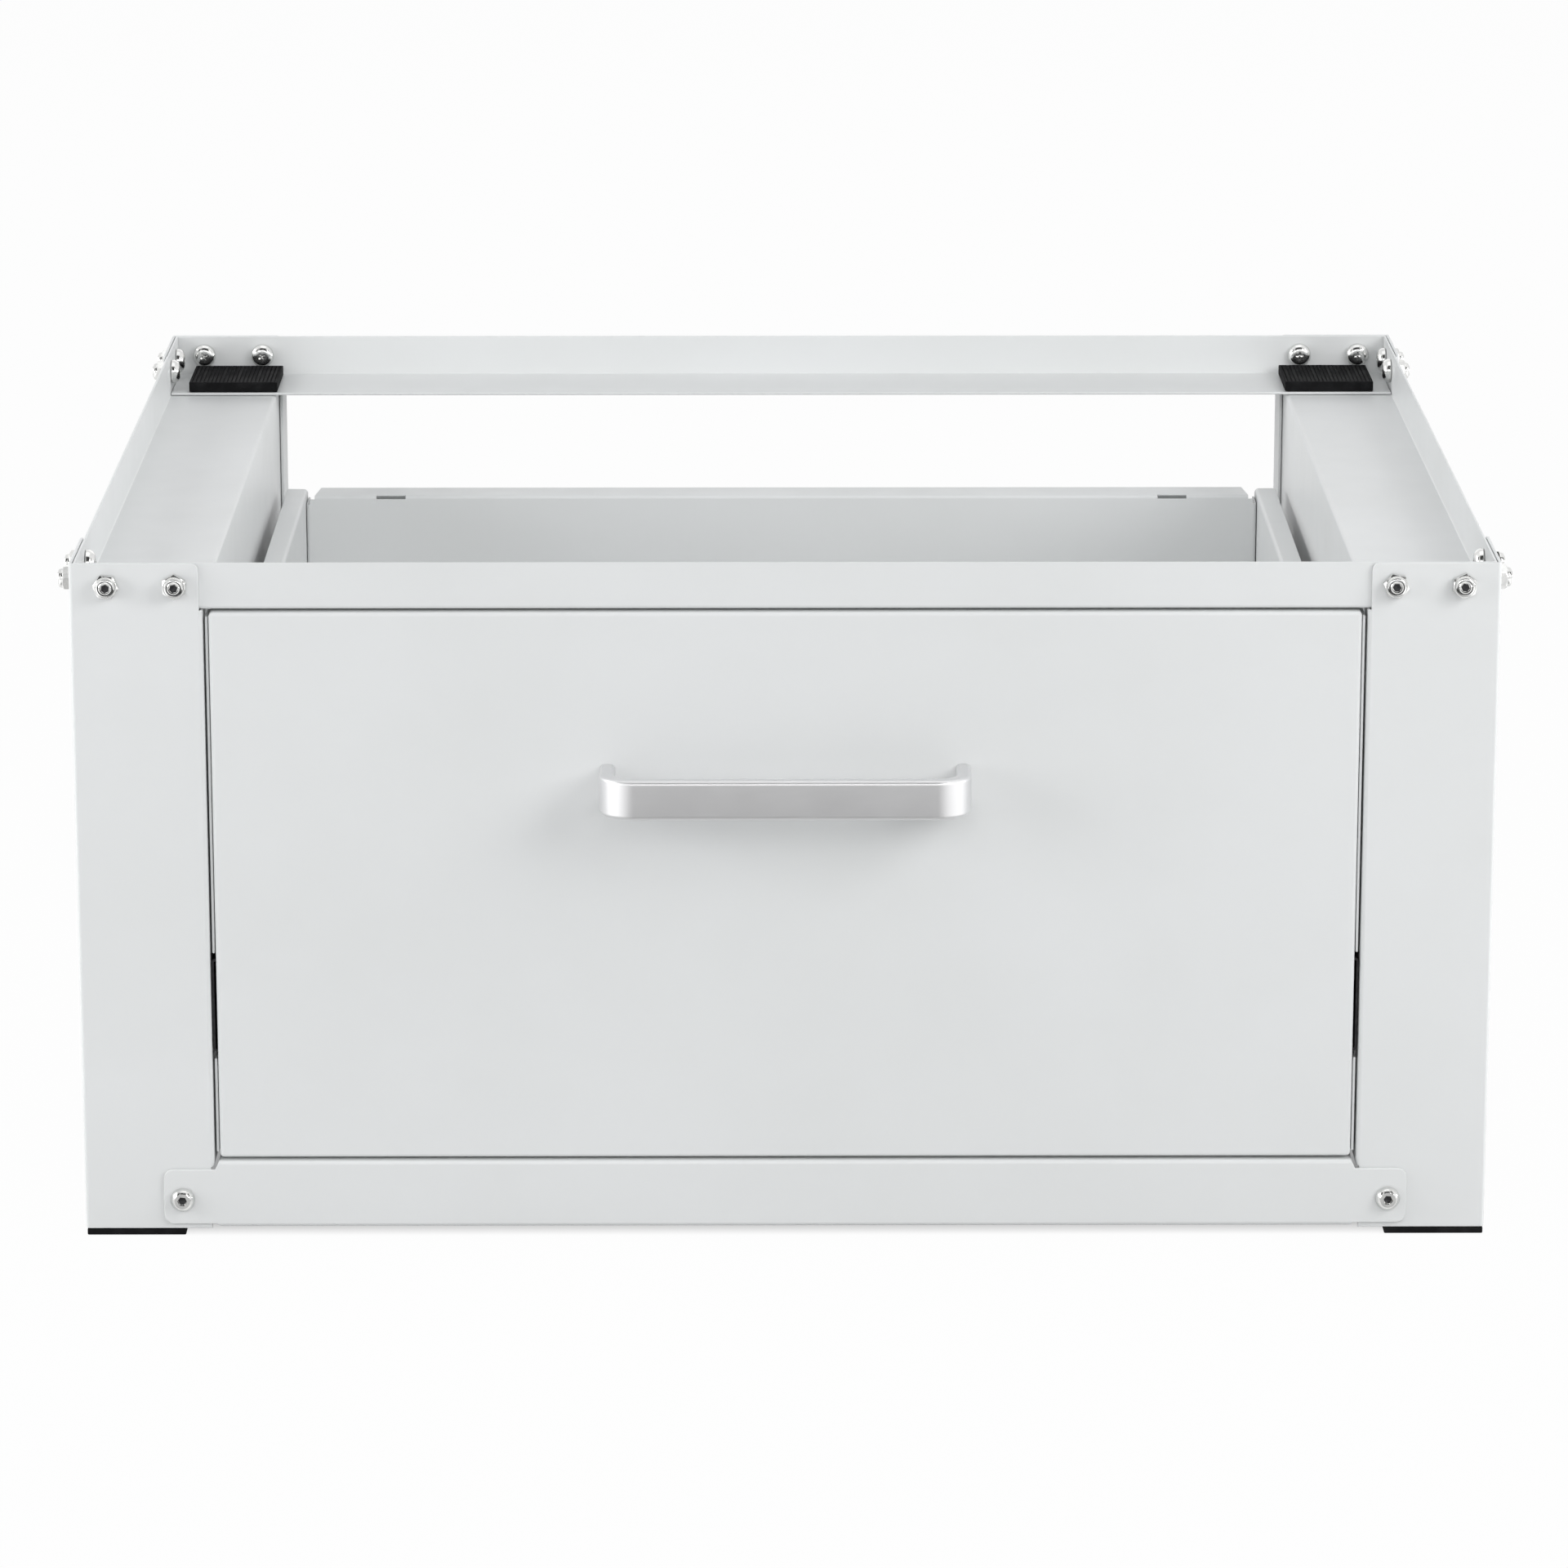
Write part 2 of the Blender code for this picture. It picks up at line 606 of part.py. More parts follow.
def post():
    """Front right corner post."""
    path = rounded([(POST_IN, POST_RETURN), (POST_IN, 0), (POST_OUT, 0), (POST_OUT, POST_SIDE),
                    (POST_OUT - POST_RETURN, POST_SIDE)], [BEND_RADIUS] * 3)
    sheet = strip(path, plan, FOOT_TOP, FRAME_HEIGHT, POST_SHEET)
    inner_x = POST_IN + POST_SHEET + FOOT_PLATE_INSET
    outer_x = POST_OUT - POST_SHEET - FOOT_PLATE_INSET
    plate = box((inner_x, POST_SHEET / 2, FOOT_TOP), (outer_x, FOOT_PLATE_DEPTH, FOOT_TOP + POST_SHEET))
    sheet = combined(sheet, "UNION", [plate])
    past_top = FRAME_HEIGHT + OVERRUN
    ear_x = POST_IN + EAR_SETBACK
    ear_y = POST_SIDE - EAR_SETBACK
    bend_back = LIP_FACE - GAP / 2
    return_back = POST_RETURN + OVERRUN
    bend_end = POST_IN + POST_SHEET + OVERRUN
    front_return = [(POST_IN - OVERRUN, -OVERRUN), (ear_x, -OVERRUN), (ear_x, bend_back),
                    (bend_end, bend_back), (bend_end, return_back), (POST_IN - OVERRUN, return_back)]
    above_shelf = slab(front_return, plan, SHELF_TOP, past_top)
    beside_tab = slab(front_return, plan, FOOT_TOP - OVERRUN, POST_NOTCH_TOP)
    bend_side = POST_OUT - LIP_FACE + GAP / 2
    bend_start = POST_SIDE - BEND_RADIUS - GAP
    past_side = POST_OUT + OVERRUN
    return_side = POST_OUT - POST_RETURN - OVERRUN
    past_return = POST_SIDE + OVERRUN
    side_return = slab([(past_side, ear_y), (past_side, past_return), (return_side, past_return),
                        (return_side, bend_start), (bend_side, bend_start), (bend_side, ear_y)],
                       plan, SHELF_BASE - GAP, past_top)
    sheet = combined(sheet, "DIFFERENCE", [above_shelf, beside_tab, side_return])
    cuts = [corner_cutter((ear_x, FRAME_HEIGHT), (-1, 1), EAR_RADIUS, side_on, -OVERRUN,
                          LIP_FACE + OVERRUN),
            corner_cutter((ear_y, FRAME_HEIGHT), (1, 1), EAR_RADIUS, end_on,
                          POST_OUT - POST_SHEET - OVERRUN, POST_OUT + OVERRUN),
            corner_cutter((POST_IN, POST_NOTCH_TOP), (-1, -1), POST_NOTCH_RADIUS, side_on, -OVERRUN,
                          return_back)]
    for place, out in top_bolt_spots():
        cuts.append(hole(place, out, BOLT_RADIUS))
    cuts.append(hole(tab_screw_spot(), (0, 1, 0), BOLT_RADIUS))
    first_screw = runner_screw_places()[0]
    cuts.append(hole((POST_IN, first_screw, RUNNER_MIDDLE_HEIGHT), (1, 0, 0), SCREW_RADIUS))
    return combined(sheet, "DIFFERENCE", cuts)


def top_rail():
    """Front top rail: lip and machine flange."""
    half = POST_OUT - POST_SHEET - GAP
    path = rounded([(LIP_FACE, FRAME_HEIGHT), (LIP_FACE, RAIL_BASE), (RAIL_REACH, RAIL_BASE)],
                   [BEND_RADIUS])
    sheet = strip(path, end_on, -half, half, RAIL_SHEET)
    cuts = []
    for side in SIDES.values():
        flange_end = side * (half - RAIL_SHEET - GAP)
        past_end = side * (half + OVERRUN)
        low_x, high_x = sorted((flange_end, past_end))
        cuts.append(box((low_x, LIP_BACK + GAP, RAIL_BASE - OVERRUN),
                        (high_x, RAIL_REACH + OVERRUN, FRAME_HEIGHT)))
        for (x, y, z), out in top_bolt_spots()[:2]:
            cuts.append(hole((side * x, y, z), out, BOLT_RADIUS))
    return combined(sheet, "DIFFERENCE", cuts)


def side_rail():
    """Right side rail: lip, shelf under the front and rear flanges, and the deep side panel."""
    lip_inside = POST_OUT - POST_SHEET - GAP - RAIL_SHEET
    start = LIP_BACK + GAP * 2
    path = rounded([(lip_inside, FRAME_HEIGHT), (lip_inside, SHELF_TOP), (PANEL_FACE, SHELF_TOP),
                    (PANEL_FACE, PANEL_BASE), (PANEL_FACE + PANEL_FOLD, PANEL_BASE)],
                   [BEND_RADIUS - RAIL_SHEET, BEND_RADIUS, BEND_RADIUS])
    sheet = strip(path, side_on, start, FRAME_DEPTH - start, RAIL_SHEET)
    cuts = []
    for place, out in top_bolt_spots()[2:]:
        for y in (place[1], FRAME_DEPTH - place[1]):
            cuts.append(hole((place[0], y, place[2]), out, BOLT_RADIUS))
    for y in runner_screw_places():
        cuts.append(hole((PANEL_FACE, y, RUNNER_MIDDLE_HEIGHT), (1, 0, 0), SCREW_RADIUS))
    return combined(sheet, "DIFFERENCE", cuts)


def bottom_rail():
    """Front bottom rail: a channel whose face runs on at each end as a tab over the post."""
    path = rounded([(BOTTOM_RAIL_DEPTH, BOTTOM_RAIL_TOP), (-LAP, BOTTOM_RAIL_TOP),
                    (-LAP, BOTTOM_RAIL_BASE), (BOTTOM_RAIL_DEPTH, BOTTOM_RAIL_BASE)],
                   [BEND_RADIUS] * 2)
    channel = strip(path, end_on, -TAB_END - OVERRUN, TAB_END + OVERRUN, RAIL_SHEET)
    body = POST_IN - GAP
    tab_base = BOTTOM_RAIL_BASE + TAB_BASE_RISE
    past_top = BOTTOM_RAIL_TOP + OVERRUN
    past_base = BOTTOM_RAIL_BASE - OVERRUN
    end = body - TAB_SLANT
    right = [(end, past_base), (end, BOTTOM_RAIL_BASE), (body, tab_base)]
    right += arc((TAB_END - TAB_RADIUS, tab_base + TAB_RADIUS), TAB_RADIUS, -90, 0, BEND_STEPS)
    right += arc((TAB_END - TAB_RADIUS, TAB_TOP - TAB_RADIUS), TAB_RADIUS, 0, 90, BEND_STEPS)
    right += [(body, TAB_TOP), (end, BOTTOM_RAIL_TOP), (end, past_top)]
    outline = right + [(-x, z) for x, z in reversed(right)]
    front = slab(outline, side_on, -LAP - OVERRUN, BOTTOM_RAIL_DEPTH + OVERRUN)
    channel = combined(channel, "INTERSECT", [front])
    x, y, z = tab_screw_spot()
    cuts = [hole((side * x, y, z), (0, 1, 0), BOLT_RADIUS) for side in SIDES.values()]
    return combined(channel, "DIFFERENCE", cuts)


def foot():
    """Front right rubber foot, under the post's foot plate."""
    low = (POST_OUT - FOOT_INSET - FOOT_SIDE, FOOT_INSET, 0)
    high = (POST_OUT - FOOT_INSET, FOOT_INSET + FOOT_SIDE, FOOT_THICKNESS)
    block = box(low, high)
    return worked(block, ("BEVEL", {"width": FOOT_EDGE, "segments": 1}))


def machine_pad():
    """Front right ribbed rubber pad, on the front rail's flange."""
    base = RAIL_BASE + RAIL_SHEET + GAP
    top = base + PAD_THICKNESS
    groove = top - PAD_RIB_HEIGHT
    outer = POST_OUT - PAD_FROM_SIDE
    inner = outer - PAD_SIDE
    ribs = round(PAD_SIDE / PAD_RIB_PITCH)
    start = (inner + outer - (ribs - 1) * PAD_RIB_PITCH - PAD_RIB_WIDTH) / 2
    outline = [(inner, base), (outer, base), (outer, groove)]
    for rib in reversed(range(ribs)):
        low = start + rib * PAD_RIB_PITCH
        high = low + PAD_RIB_WIDTH
        outline += [(high, groove), (high, top), (low, top), (low, groove)]
    outline.append((inner, groove))
    return slab(outline, side_on, PAD_FROM_END, PAD_FROM_END + PAD_SIDE)


def bolted(head_radius, head_height, grip):
    """A bolt with its nut run on: the head above zero, the nut past the grip, the tip past it."""
    nut_seat = grip + GAP
    bolt = screw_of(head_radius, head_height, BOLT_RADIUS, nut_seat + NUT_HEIGHT + BOLT_TIP)
    corners = NUT_FLATS / 2 / math.cos(math.pi / 6)
    nut = rod((0, 0, -nut_seat - NUT_HEIGHT), (0, 0, -nut_seat), corners, 6)
    return combined(bolt, "UNION", [nut])


def frame_pieces(bench, finishes):
    """Posts, rails, feet, pads and the screws that hold the frame."""
    white, rubber, zinc = finishes["white"], finishes["rubber"], finishes["zinc"]
    corner_pieces = {"post": (post(), white), "foot": (foot(), rubber),
                     "machine_pad": (machine_pad(), rubber)}
    for kind, (mesh, finish) in corner_pieces.items():
        for corner, (x, y) in CORNERS.items():
            bench.add(f"{kind}_{corner}", moved(mesh, mirror(x, y)), finish)
    for kind, mesh in {"top_rail": top_rail(), "bottom_rail": bottom_rail()}.items():
        for end, y in ENDS.items():
            bench.add(f"{kind}_{end}", moved(mesh, mirror(1, y)), white)
    panel = side_rail()
    for side, x in SIDES.items():
        bench.add(f"side_rail_{side}", moved(panel, mirror(x)), white)
    bolt = bolted(BOLT_HEAD_RADIUS, BOLT_HEAD_HEIGHT, LIP_BACK + GAP)
    screw = bolted(TAB_HEAD_RADIUS, TAB_HEAD_HEIGHT, LAP + GAP + POST_SHEET)
    x, y, z = tab_screw_spot()
    screw = moved(screw, aimed((x, y - LAP - GAP, z), (0, -1, 0)))
    for corner, signs in CORNERS.items():
        for number, (place, out) in enumerate(top_bolt_spots(), 1):
            seat = Vector(place) - Vector(out) * (LIP_BACK + GAP)
            stand = moved(bolt, mirror(*signs) @ aimed(seat, -Vector(out)))
            bench.add(f"top_bolt_{corner}_{number}", stand, zinc)
        bench.add(f"bottom_rail_screw_{corner}", moved(screw, mirror(*signs)), zinc)


def section(path):
    """Right runner section drawn by (across, up), as (x, z) on the bench."""
    return [(CABINET_FACE - across, RUNNER_MIDDLE_HEIGHT + up) for across, up in path]


def both_halves(upper):
    """A section symmetric about the runner's middle, from its upper half."""
    return [(across, -up) for across, up in reversed(upper)] + upper


def member(upper, start, length, sheet):
    """A runner member: its section's upper half as a centre line, run to the rear."""
    return strip(section(both_halves(upper)), side_on, start, start + length, sheet, 0)


def cabinet_member():
    """The C section fixed to the frame, a race along each edge, with its spacers and screws.

    The front screw holds it against the post. The others pass a spacer as thick as the post's
    sheet, so that the member lies straight against the side panel.
    """
    race = BALL_REACH + CABINET_SHEET / 2
    upper = arc((OUTER_BALL_ACROSS, OUTER_BALL_UP), race, 140, 10, RACE_STEPS)
    upper.insert(0, (CABINET_SHEET / 2, upper[0][1]))
    sheet = member(upper, RUNNER_SETBACK, RUNNER_LENGTH, CABINET_SHEET)
    web_middle = CABINET_FACE - CABINET_SHEET / 2
    seat = PANEL_FACE + RAIL_SHEET + GAP
    screw = screw_of(SCREW_HEAD_RADIUS, SCREW_HEAD_HEIGHT, SCREW_RADIUS, seat - web_middle)
    places = runner_screw_places()
    screws = [moved(screw, aimed((seat, y, RUNNER_MIDDLE_HEIGHT), (1, 0, 0))) for y in places]
    spacers = [rod((web_middle, y, RUNNER_MIDDLE_HEIGHT), (PANEL_FACE - GAP, y, RUNNER_MIDDLE_HEIGHT),
                   SPACER_RADIUS, HEAD_SIDES) for y in places[1:]]
    return combined(combined(sheet, "UNION", spacers), "UNION", screws)


def middle_member():
    """The member between, with the outer balls' race outside and the inner balls' race inside."""
    upper = arc((OUTER_BALL_ACROSS, OUTER_BALL_UP), MIDDLE_RACE, 235, 285, 2)
    upper += arc((INNER_BALL_ACROSS, INNER_BALL_UP), MIDDLE_RACE, 105, 10, RACE_STEPS)
    upper.insert(0, (MIDDLE_WEB_ACROSS, upper[0][1]))
    return member(upper, RUNNER_SETBACK, RUNNER_LENGTH - MIDDLE_SHORTER, MIDDLE_SHEET)


def drawer_member():
    """The member on the drawer side, with the screws that come through from inside the drawer."""
    race = BALL_REACH + INNER_SHEET / 2
    upper = arc((INNER_BALL_ACROSS, INNER_BALL_UP), race, 310, 210, RACE_STEPS)
    upper.insert(0, (INNER_WEB_ACROSS, upper[0][1]))
    sheet = member(upper, RUNNER_SETBACK, RUNNER_LENGTH - INNER_SHORTER, INNER_SHEET)
    web_middle = CABINET_FACE - INNER_WEB_ACROSS
    seat = WALL_INSIDE - GAP
    screw = screw_of(SCREW_HEAD_RADIUS, SCREW_HEAD_HEIGHT, SCREW_RADIUS, web_middle - seat)
    screws = [moved(screw, aimed((seat, y, RUNNER_MIDDLE_HEIGHT), (-1, 0, 0)))
              for y in drawer_screw_places()]
    return combined(sheet, "UNION", screws)


def ball_places(across, up, first):
    """Centres of the balls in a cage's upper and lower rows."""
    x = CABINET_FACE - across
    return [Vector((x, first + BALL_PITCH * number, RUNNER_MIDDLE_HEIGHT + sign * up))
            for sign in (1, -1) for number in range(BALLS_IN_ROW)]


def cage(web_across, ball_across, up, first):
    """A ball cage, a thin U, with the rows of balls that it holds along the edges of its legs."""
    sheet = strip(section(both_halves([(web_across, up), (ball_across, up)])), side_on,
                  first - CAGE_END, first + BALL_PITCH * (BALLS_IN_ROW - 1) + CAGE_END, CAGE_SHEET, 0)
    return combined(sheet, "UNION", [ball(place) for place in ball_places(ball_across, up, first)])


def first_ball(share):
    """Where a cage's first ball sits at rest, so that it stays on both races all the way out.

    The share is the cage's travel as a part of the drawer's. Fully out, the cage lies in the
    middle of the stretch where its two members still overlap.
    """
    row = BALL_PITCH * (BALLS_IN_ROW - 1)
    front_member_rear = RUNNER_SETBACK + RUNNER_LENGTH - MIDDLE_SHORTER - RUNNER_TRAVEL / 2
    overlap_middle = (RUNNER_SETBACK + front_member_rear) / 2
    nearer = (share - OUTER_CAGE_SHARE) * RUNNER_TRAVEL
    return overlap_middle - nearer + share * RUNNER_TRAVEL - row / 2


def runner_pieces(bench, finishes):
    """Both telescopic runners with their cages and balls."""
    black, zinc = finishes["black"], finishes["zinc"]
    meshes = {"cabinet": cabinet_member(), "middle": middle_member(), "drawer": drawer_member()}
    outer_start, inner_start = first_ball(OUTER_CAGE_SHARE), first_ball(INNER_CAGE_SHARE)
    cages = {"outer": cage(OUTER_CAGE_ACROSS, OUTER_BALL_ACROSS, OUTER_BALL_UP, outer_start),
             "inner": cage(INNER_CAGE_ACROSS, INNER_BALL_ACROSS, INNER_BALL_UP, inner_start)}
    for side, x in SIDES.items():
        line = (x * CABINET_FACE, 0, RUNNER_MIDDLE_HEIGHT)
        carriers = {"cabinet": "frame", "middle": f"runner_{side}", "drawer": "drawer"}
        bench.carrier(f"runner_{side}", line)
        for kind, mesh in meshes.items():
            bench.add(f"runner_{side}_{kind}_member", moved(mesh, mirror(x)), black, carriers[kind])
        for kind, mesh in cages.items():
            bench.carrier(f"cage_{side}_{kind}", line)
            bench.add(f"runner_{side}_{kind}_cage", moved(mesh, mirror(x)), zinc, f"cage_{side}_{kind}")


def drawer_front():
    """The front pan: a flat face with returns round it.

    The side returns end in open hems that come forward again, and are notched at the runners.
    """
    low = Vector((-FRONT_HALF, 0, FRONT_BASE))
    high = Vector((FRONT_HALF, FRONT_RETURN, FRONT_TOP))
    block = box(low, high)
    shape = bmesh.new()
    shape.from_mesh(block)
    open_side = [face for face in shape.faces if face.normal.y > 0.5]
    bmesh.ops.delete(shape, geom=open_side, context="FACES_ONLY")
    pan = worked(mesh_of(shape), ("BEVEL", {"width": FRONT_EDGE_RADIUS, "segments": BEND_STEPS}),
                 ("SOLIDIFY", {"thickness": FRONT_SHEET, "offset": -1, "use_even_offset": True}))
    inside = FRONT_HALF - FRONT_SHEET / 2
    leg = FRONT_HALF + FRONT_HEM_OPENING
    rear = FRONT_RETURN - GAP - FRONT_SHEET
    hook = [(inside, rear), (leg, rear), (leg, FRONT_HEM_START), (leg + FRONT_SHEET, FRONT_HEM_START)]
    hook += arc((leg + GAP, rear + GAP), FRONT_SHEET - GAP, 0, 90, BEND_STEPS)
    hook.append((inside, rear + FRONT_SHEET))
    low_z, high_z = FRONT_BASE + FRONT_EDGE_RADIUS + GAP, FRONT_TOP - FRONT_EDGE_RADIUS - GAP
    hems = [slab([(side * x, y) for x, y in hook], plan, low_z, high_z) for side in SIDES.values()]
    pan = combined(pan, "UNION", hems)
    clear = RUNNER_TALL / 2 + OVERRUN
    cuts = []
    for side in SIDES.values():
        low_x, high_x = sorted((side * (FRONT_HALF - BEND_RADIUS - FRONT_SHEET), side * POST_IN))
        cuts.append(box((low_x, FRONT_EDGE_RADIUS + GAP, RUNNER_MIDDLE_HEIGHT - clear),
                        (high_x, FRONT_RETURN + OVERRUN, RUNNER_MIDDLE_HEIGHT + clear)))
        cuts.append(hole((side * HANDLE_ROOT, 0, HANDLE_MIDDLE_HEIGHT), (0, 1, 0), SCREW_RADIUS))
    return combined(pan, "DIFFERENCE", cuts)


def drawer_side():
    """Right drawer side: its rim turned outwards, its ledge and front flange inwards, its rivets."""
    flanges = {"v1": (DRAWER_RIM_FLANGE, 1, 0, 0), "v0": (DRAWER_LEDGE, -1, 0, 0),
               "u0": (DRAWER_FRONT_FLANGE, -1, 0, 0)}
    flat = tray(DRAWER_SIDE_LENGTH, DRAWER_RIM - DRAWER_BASE, flanges, DRAWER_SHEET)
    to_bench = Matrix(((0, 0, 1, WALL_INSIDE), (1, 0, 0, SIDE_START), (0, 1, 0, DRAWER_BASE), (0, 0, 0, 1)))
    wall = moved(flat, to_bench)
    cuts = [hole((WALL_FACE, y, RUNNER_MIDDLE_HEIGHT), (1, 0, 0), SCREW_RADIUS)
            for y in drawer_screw_places()]
    cuts.append(box((WALL_INSIDE - DRAWER_LEDGE - OVERRUN, BACK_FACE - GAP, DRAWER_BASE - OVERRUN),
                    (WALL_FACE + OVERRUN, FRAME_DEPTH, DRAWER_BASE + BEND_RADIUS + GAP)))
    wall = combined(wall, "DIFFERENCE", cuts)
    plain = rivet(GAP + DRAWER_SHEET * 2 + GAP * 2)
    spots = back_rivet_spots() + floor_rivet_spots()
    rivets = [moved(plain, aimed(Vector(place) + Vector(out) * GAP, out)) for place, out in spots]
    return combined(wall, "UNION", rivets)


def back_rivet_spots():
    """Where rivets cross the right drawer side into the back's flange, heads outside."""
    y = BACK_FACE + BACK_SIDE_FLANGE / 2
    rise = DRAWER_RIM - DRAWER_BASE
    return [((WALL_FACE, y, DRAWER_BASE + rise * share), (1, 0, 0)) for share in BACK_RIVET_SHARES]


def floor_rivet_spots():
    """Where rivets cross the floor into the right side's ledge, heads inside the drawer."""
    x = WALL_INSIDE - DRAWER_LEDGE * FLOOR_RIVET_ACROSS_SHARE
    run = BACK_FACE - FLOOR_START
    top = FLOOR_BASE + DRAWER_SHEET
    return [((x, FLOOR_START + run * share, top), (0, 0, 1)) for share in FLOOR_RIVET_SHARES]


def drawer_back():
    """The back: four flanges turned to the rear, a lip on the upper one, and two slots in its fold."""
    half = WALL_INSIDE - GAP
    flanges = {"v1": (BACK_RIM_FLANGE, 1, BACK_MITRE, BACK_RIM_LIP),
               "v0": (BACK_BASE_FLANGE, 1, 0, 0),
               "u0": (BACK_SIDE_FLANGE, 1, 0, 0), "u1": (BACK_SIDE_FLANGE, 1, 0, 0)}
    flat = tray(half * 2, DRAWER_RIM - DRAWER_BASE, flanges, DRAWER_SHEET)
    to_bench = Matrix(((-1, 0, 0, half), (0, 0, 1, BACK_FACE), (0, 1, 0, DRAWER_BASE), (0, 0, 0, 1)))
    wall = moved(flat, to_bench)
    cuts = []
    for side in SIDES.values():
        middle = side * (half - SLOT_FROM_END)
        cuts.append(box((middle - SLOT_LENGTH / 2, BACK_FACE - OVERRUN, DRAWER_RIM - BEND_RADIUS),
                        (middle + SLOT_LENGTH / 2, BACK_FACE + BEND_RADIUS + SLOT_DEPTH,
                         DRAWER_RIM + OVERRUN)))
        for (x, y, z), out in back_rivet_spots():
            cuts.append(hole((side * x, y, z), out, RIVET_RADIUS))
    return combined(wall, "DIFFERENCE", cuts)


def drawer_floor():
    """The floor: rests on the sides' ledges, with a low flange up at its front and rear."""
    half = WALL_INSIDE - GAP
    flanges = {"v0": (FLOOR_FLANGE, 1, 0, 0), "v1": (FLOOR_FLANGE, 1, 0, 0)}
    side_flange_clear = DRAWER_FRONT_FLANGE
    flat = tray(half * 2, BACK_FACE - GAP - FLOOR_START, flanges, DRAWER_SHEET, side_flange_clear)
    sheet = moved(flat, Matrix.Translation((-half, FLOOR_START, FLOOR_BASE)))
    cuts = []
    for side in SIDES.values():
        for (x, y, z), out in floor_rivet_spots():
            cuts.append(hole((side * x, y, z), out, RIVET_RADIUS))
    return combined(sheet, "DIFFERENCE", cuts)


def handle():
    """The bow: a flat bar bent round at both ends, its roots on the drawer front."""
    half = HANDLE_WIDTH / 2
    outer = [(-half, -GAP), (-half, -HANDLE_REACH), (half, -HANDLE_REACH), (half, -GAP)]
    inner_half = half - HANDLE_THICKNESS
    inner_reach = HANDLE_REACH - HANDLE_THICKNESS
    inner = [(inner_half, -GAP), (inner_half, -inner_reach), (-inner_half, -inner_reach),
             (-inner_half, -GAP)]
    outline = rounded(outer, [HANDLE_CORNER_RADIUS] * 2, HANDLE_BEND_STEPS)
    outline += rounded(inner, [HANDLE_CORNER_RADIUS - HANDLE_THICKNESS] * 2, HANDLE_BEND_STEPS)
    low = HANDLE_MIDDLE_HEIGHT - HANDLE_TALL / 2
    bow = slab(outline, plan, low, low + HANDLE_TALL)
    bow = worked(bow, ("BEVEL", {"width": HANDLE_EDGE, "segments": 2, "limit_method": "ANGLE",
                                 "angle_limit": math.radians(60)}))
    bores = [rod((side * HANDLE_ROOT, OVERRUN, HANDLE_MIDDLE_HEIGHT),
                 (side * HANDLE_ROOT, -HANDLE_SCREW_DEPTH - GAP, HANDLE_MIDDLE_HEIGHT),
                 SCREW_RADIUS + GAP, SHANK_SIDES) for side in SIDES.values()]
    return combined(bow, "DIFFERENCE", bores)


def rivet(grip):
    """A blind rivet: its head above zero and its swollen tail past the grip."""
    outline = [(RIVET_HEAD_RADIUS * across, RIVET_HEAD_HEIGHT * up) for across, up in DOME_SHARES]
    outline += [(RIVET_RADIUS, 0), (RIVET_RADIUS, -grip), (RIVET_TAIL_RADIUS, -grip),
                (RIVET_TAIL_RADIUS, -grip - RIVET_TAIL_HEIGHT), (0, -grip - RIVET_TAIL_HEIGHT)]
    return turned(outline, SHANK_SIDES)


def drawer_pieces(bench, finishes):
    """Front, sides, back, floor, handle and the drawer's screws and rivets."""
    white, zinc, satin = finishes["white"], finishes["zinc"], finishes["satin"]
    bench.add("drawer_front", drawer_front(), white, "drawer")
    wall = drawer_side()
    for side, x in SIDES.items():
        bench.add(f"drawer_side_{side}", moved(wall, mirror(x)), white, "drawer")
    bench.add("drawer_back", drawer_back(), white, "drawer")
    bench.add("drawer_floor", drawer_floor(), white, "drawer")
    bench.add("handle", handle(), satin, "drawer")
    length = GAP + FRONT_SHEET + HANDLE_SCREW_DEPTH
    screw = screw_of(SCREW_HEAD_RADIUS, SCREW_HEAD_HEIGHT, SCREW_RADIUS, length)
    seat = (HANDLE_ROOT, FRONT_SHEET + GAP, HANDLE_MIDDLE_HEIGHT)
    for side, x in SIDES.items():
        stand = moved(screw, mirror(x) @ aimed(seat, (0, 1, 0)))
        bench.add(f"handle_screw_{side}", stand, zinc, "drawer")


def main():
    """Build the pedestal."""
    clear_scene()
    finishes = {"white": material("white_enamel", (0.76, 0.77, 0.77), 0.45, 0),
                "rubber": material("black_rubber", (0.014, 0.014, 0.015), 0.8, 0),
                "zinc": material("bright_zinc", (0.62, 0.62, 0.6), 0.25, 1),
                "black": material("black_runner", (0.02, 0.02, 0.022), 0.4, 0.6),
                "satin": material("satin_aluminium", (0.45, 0.45, 0.46), 0.35, 1)}
    bench = Bench()
    bench.carrier("drawer", (0, 0, RUNNER_MIDDLE_HEIGHT))
    frame_pieces(bench, finishes)
    runner_pieces(bench, finishes)
    drawer_pieces(bench, finishes)


main()
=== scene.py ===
"""Washing machine pedestal: finishes, fine shapes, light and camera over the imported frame."""

import json
import logging
import math
from dataclasses import dataclass, field, replace
from enum import Enum
from typing import Any, Callable, Iterable, Sequence

import bmesh
import bpy
from mathutils import Matrix, Vector


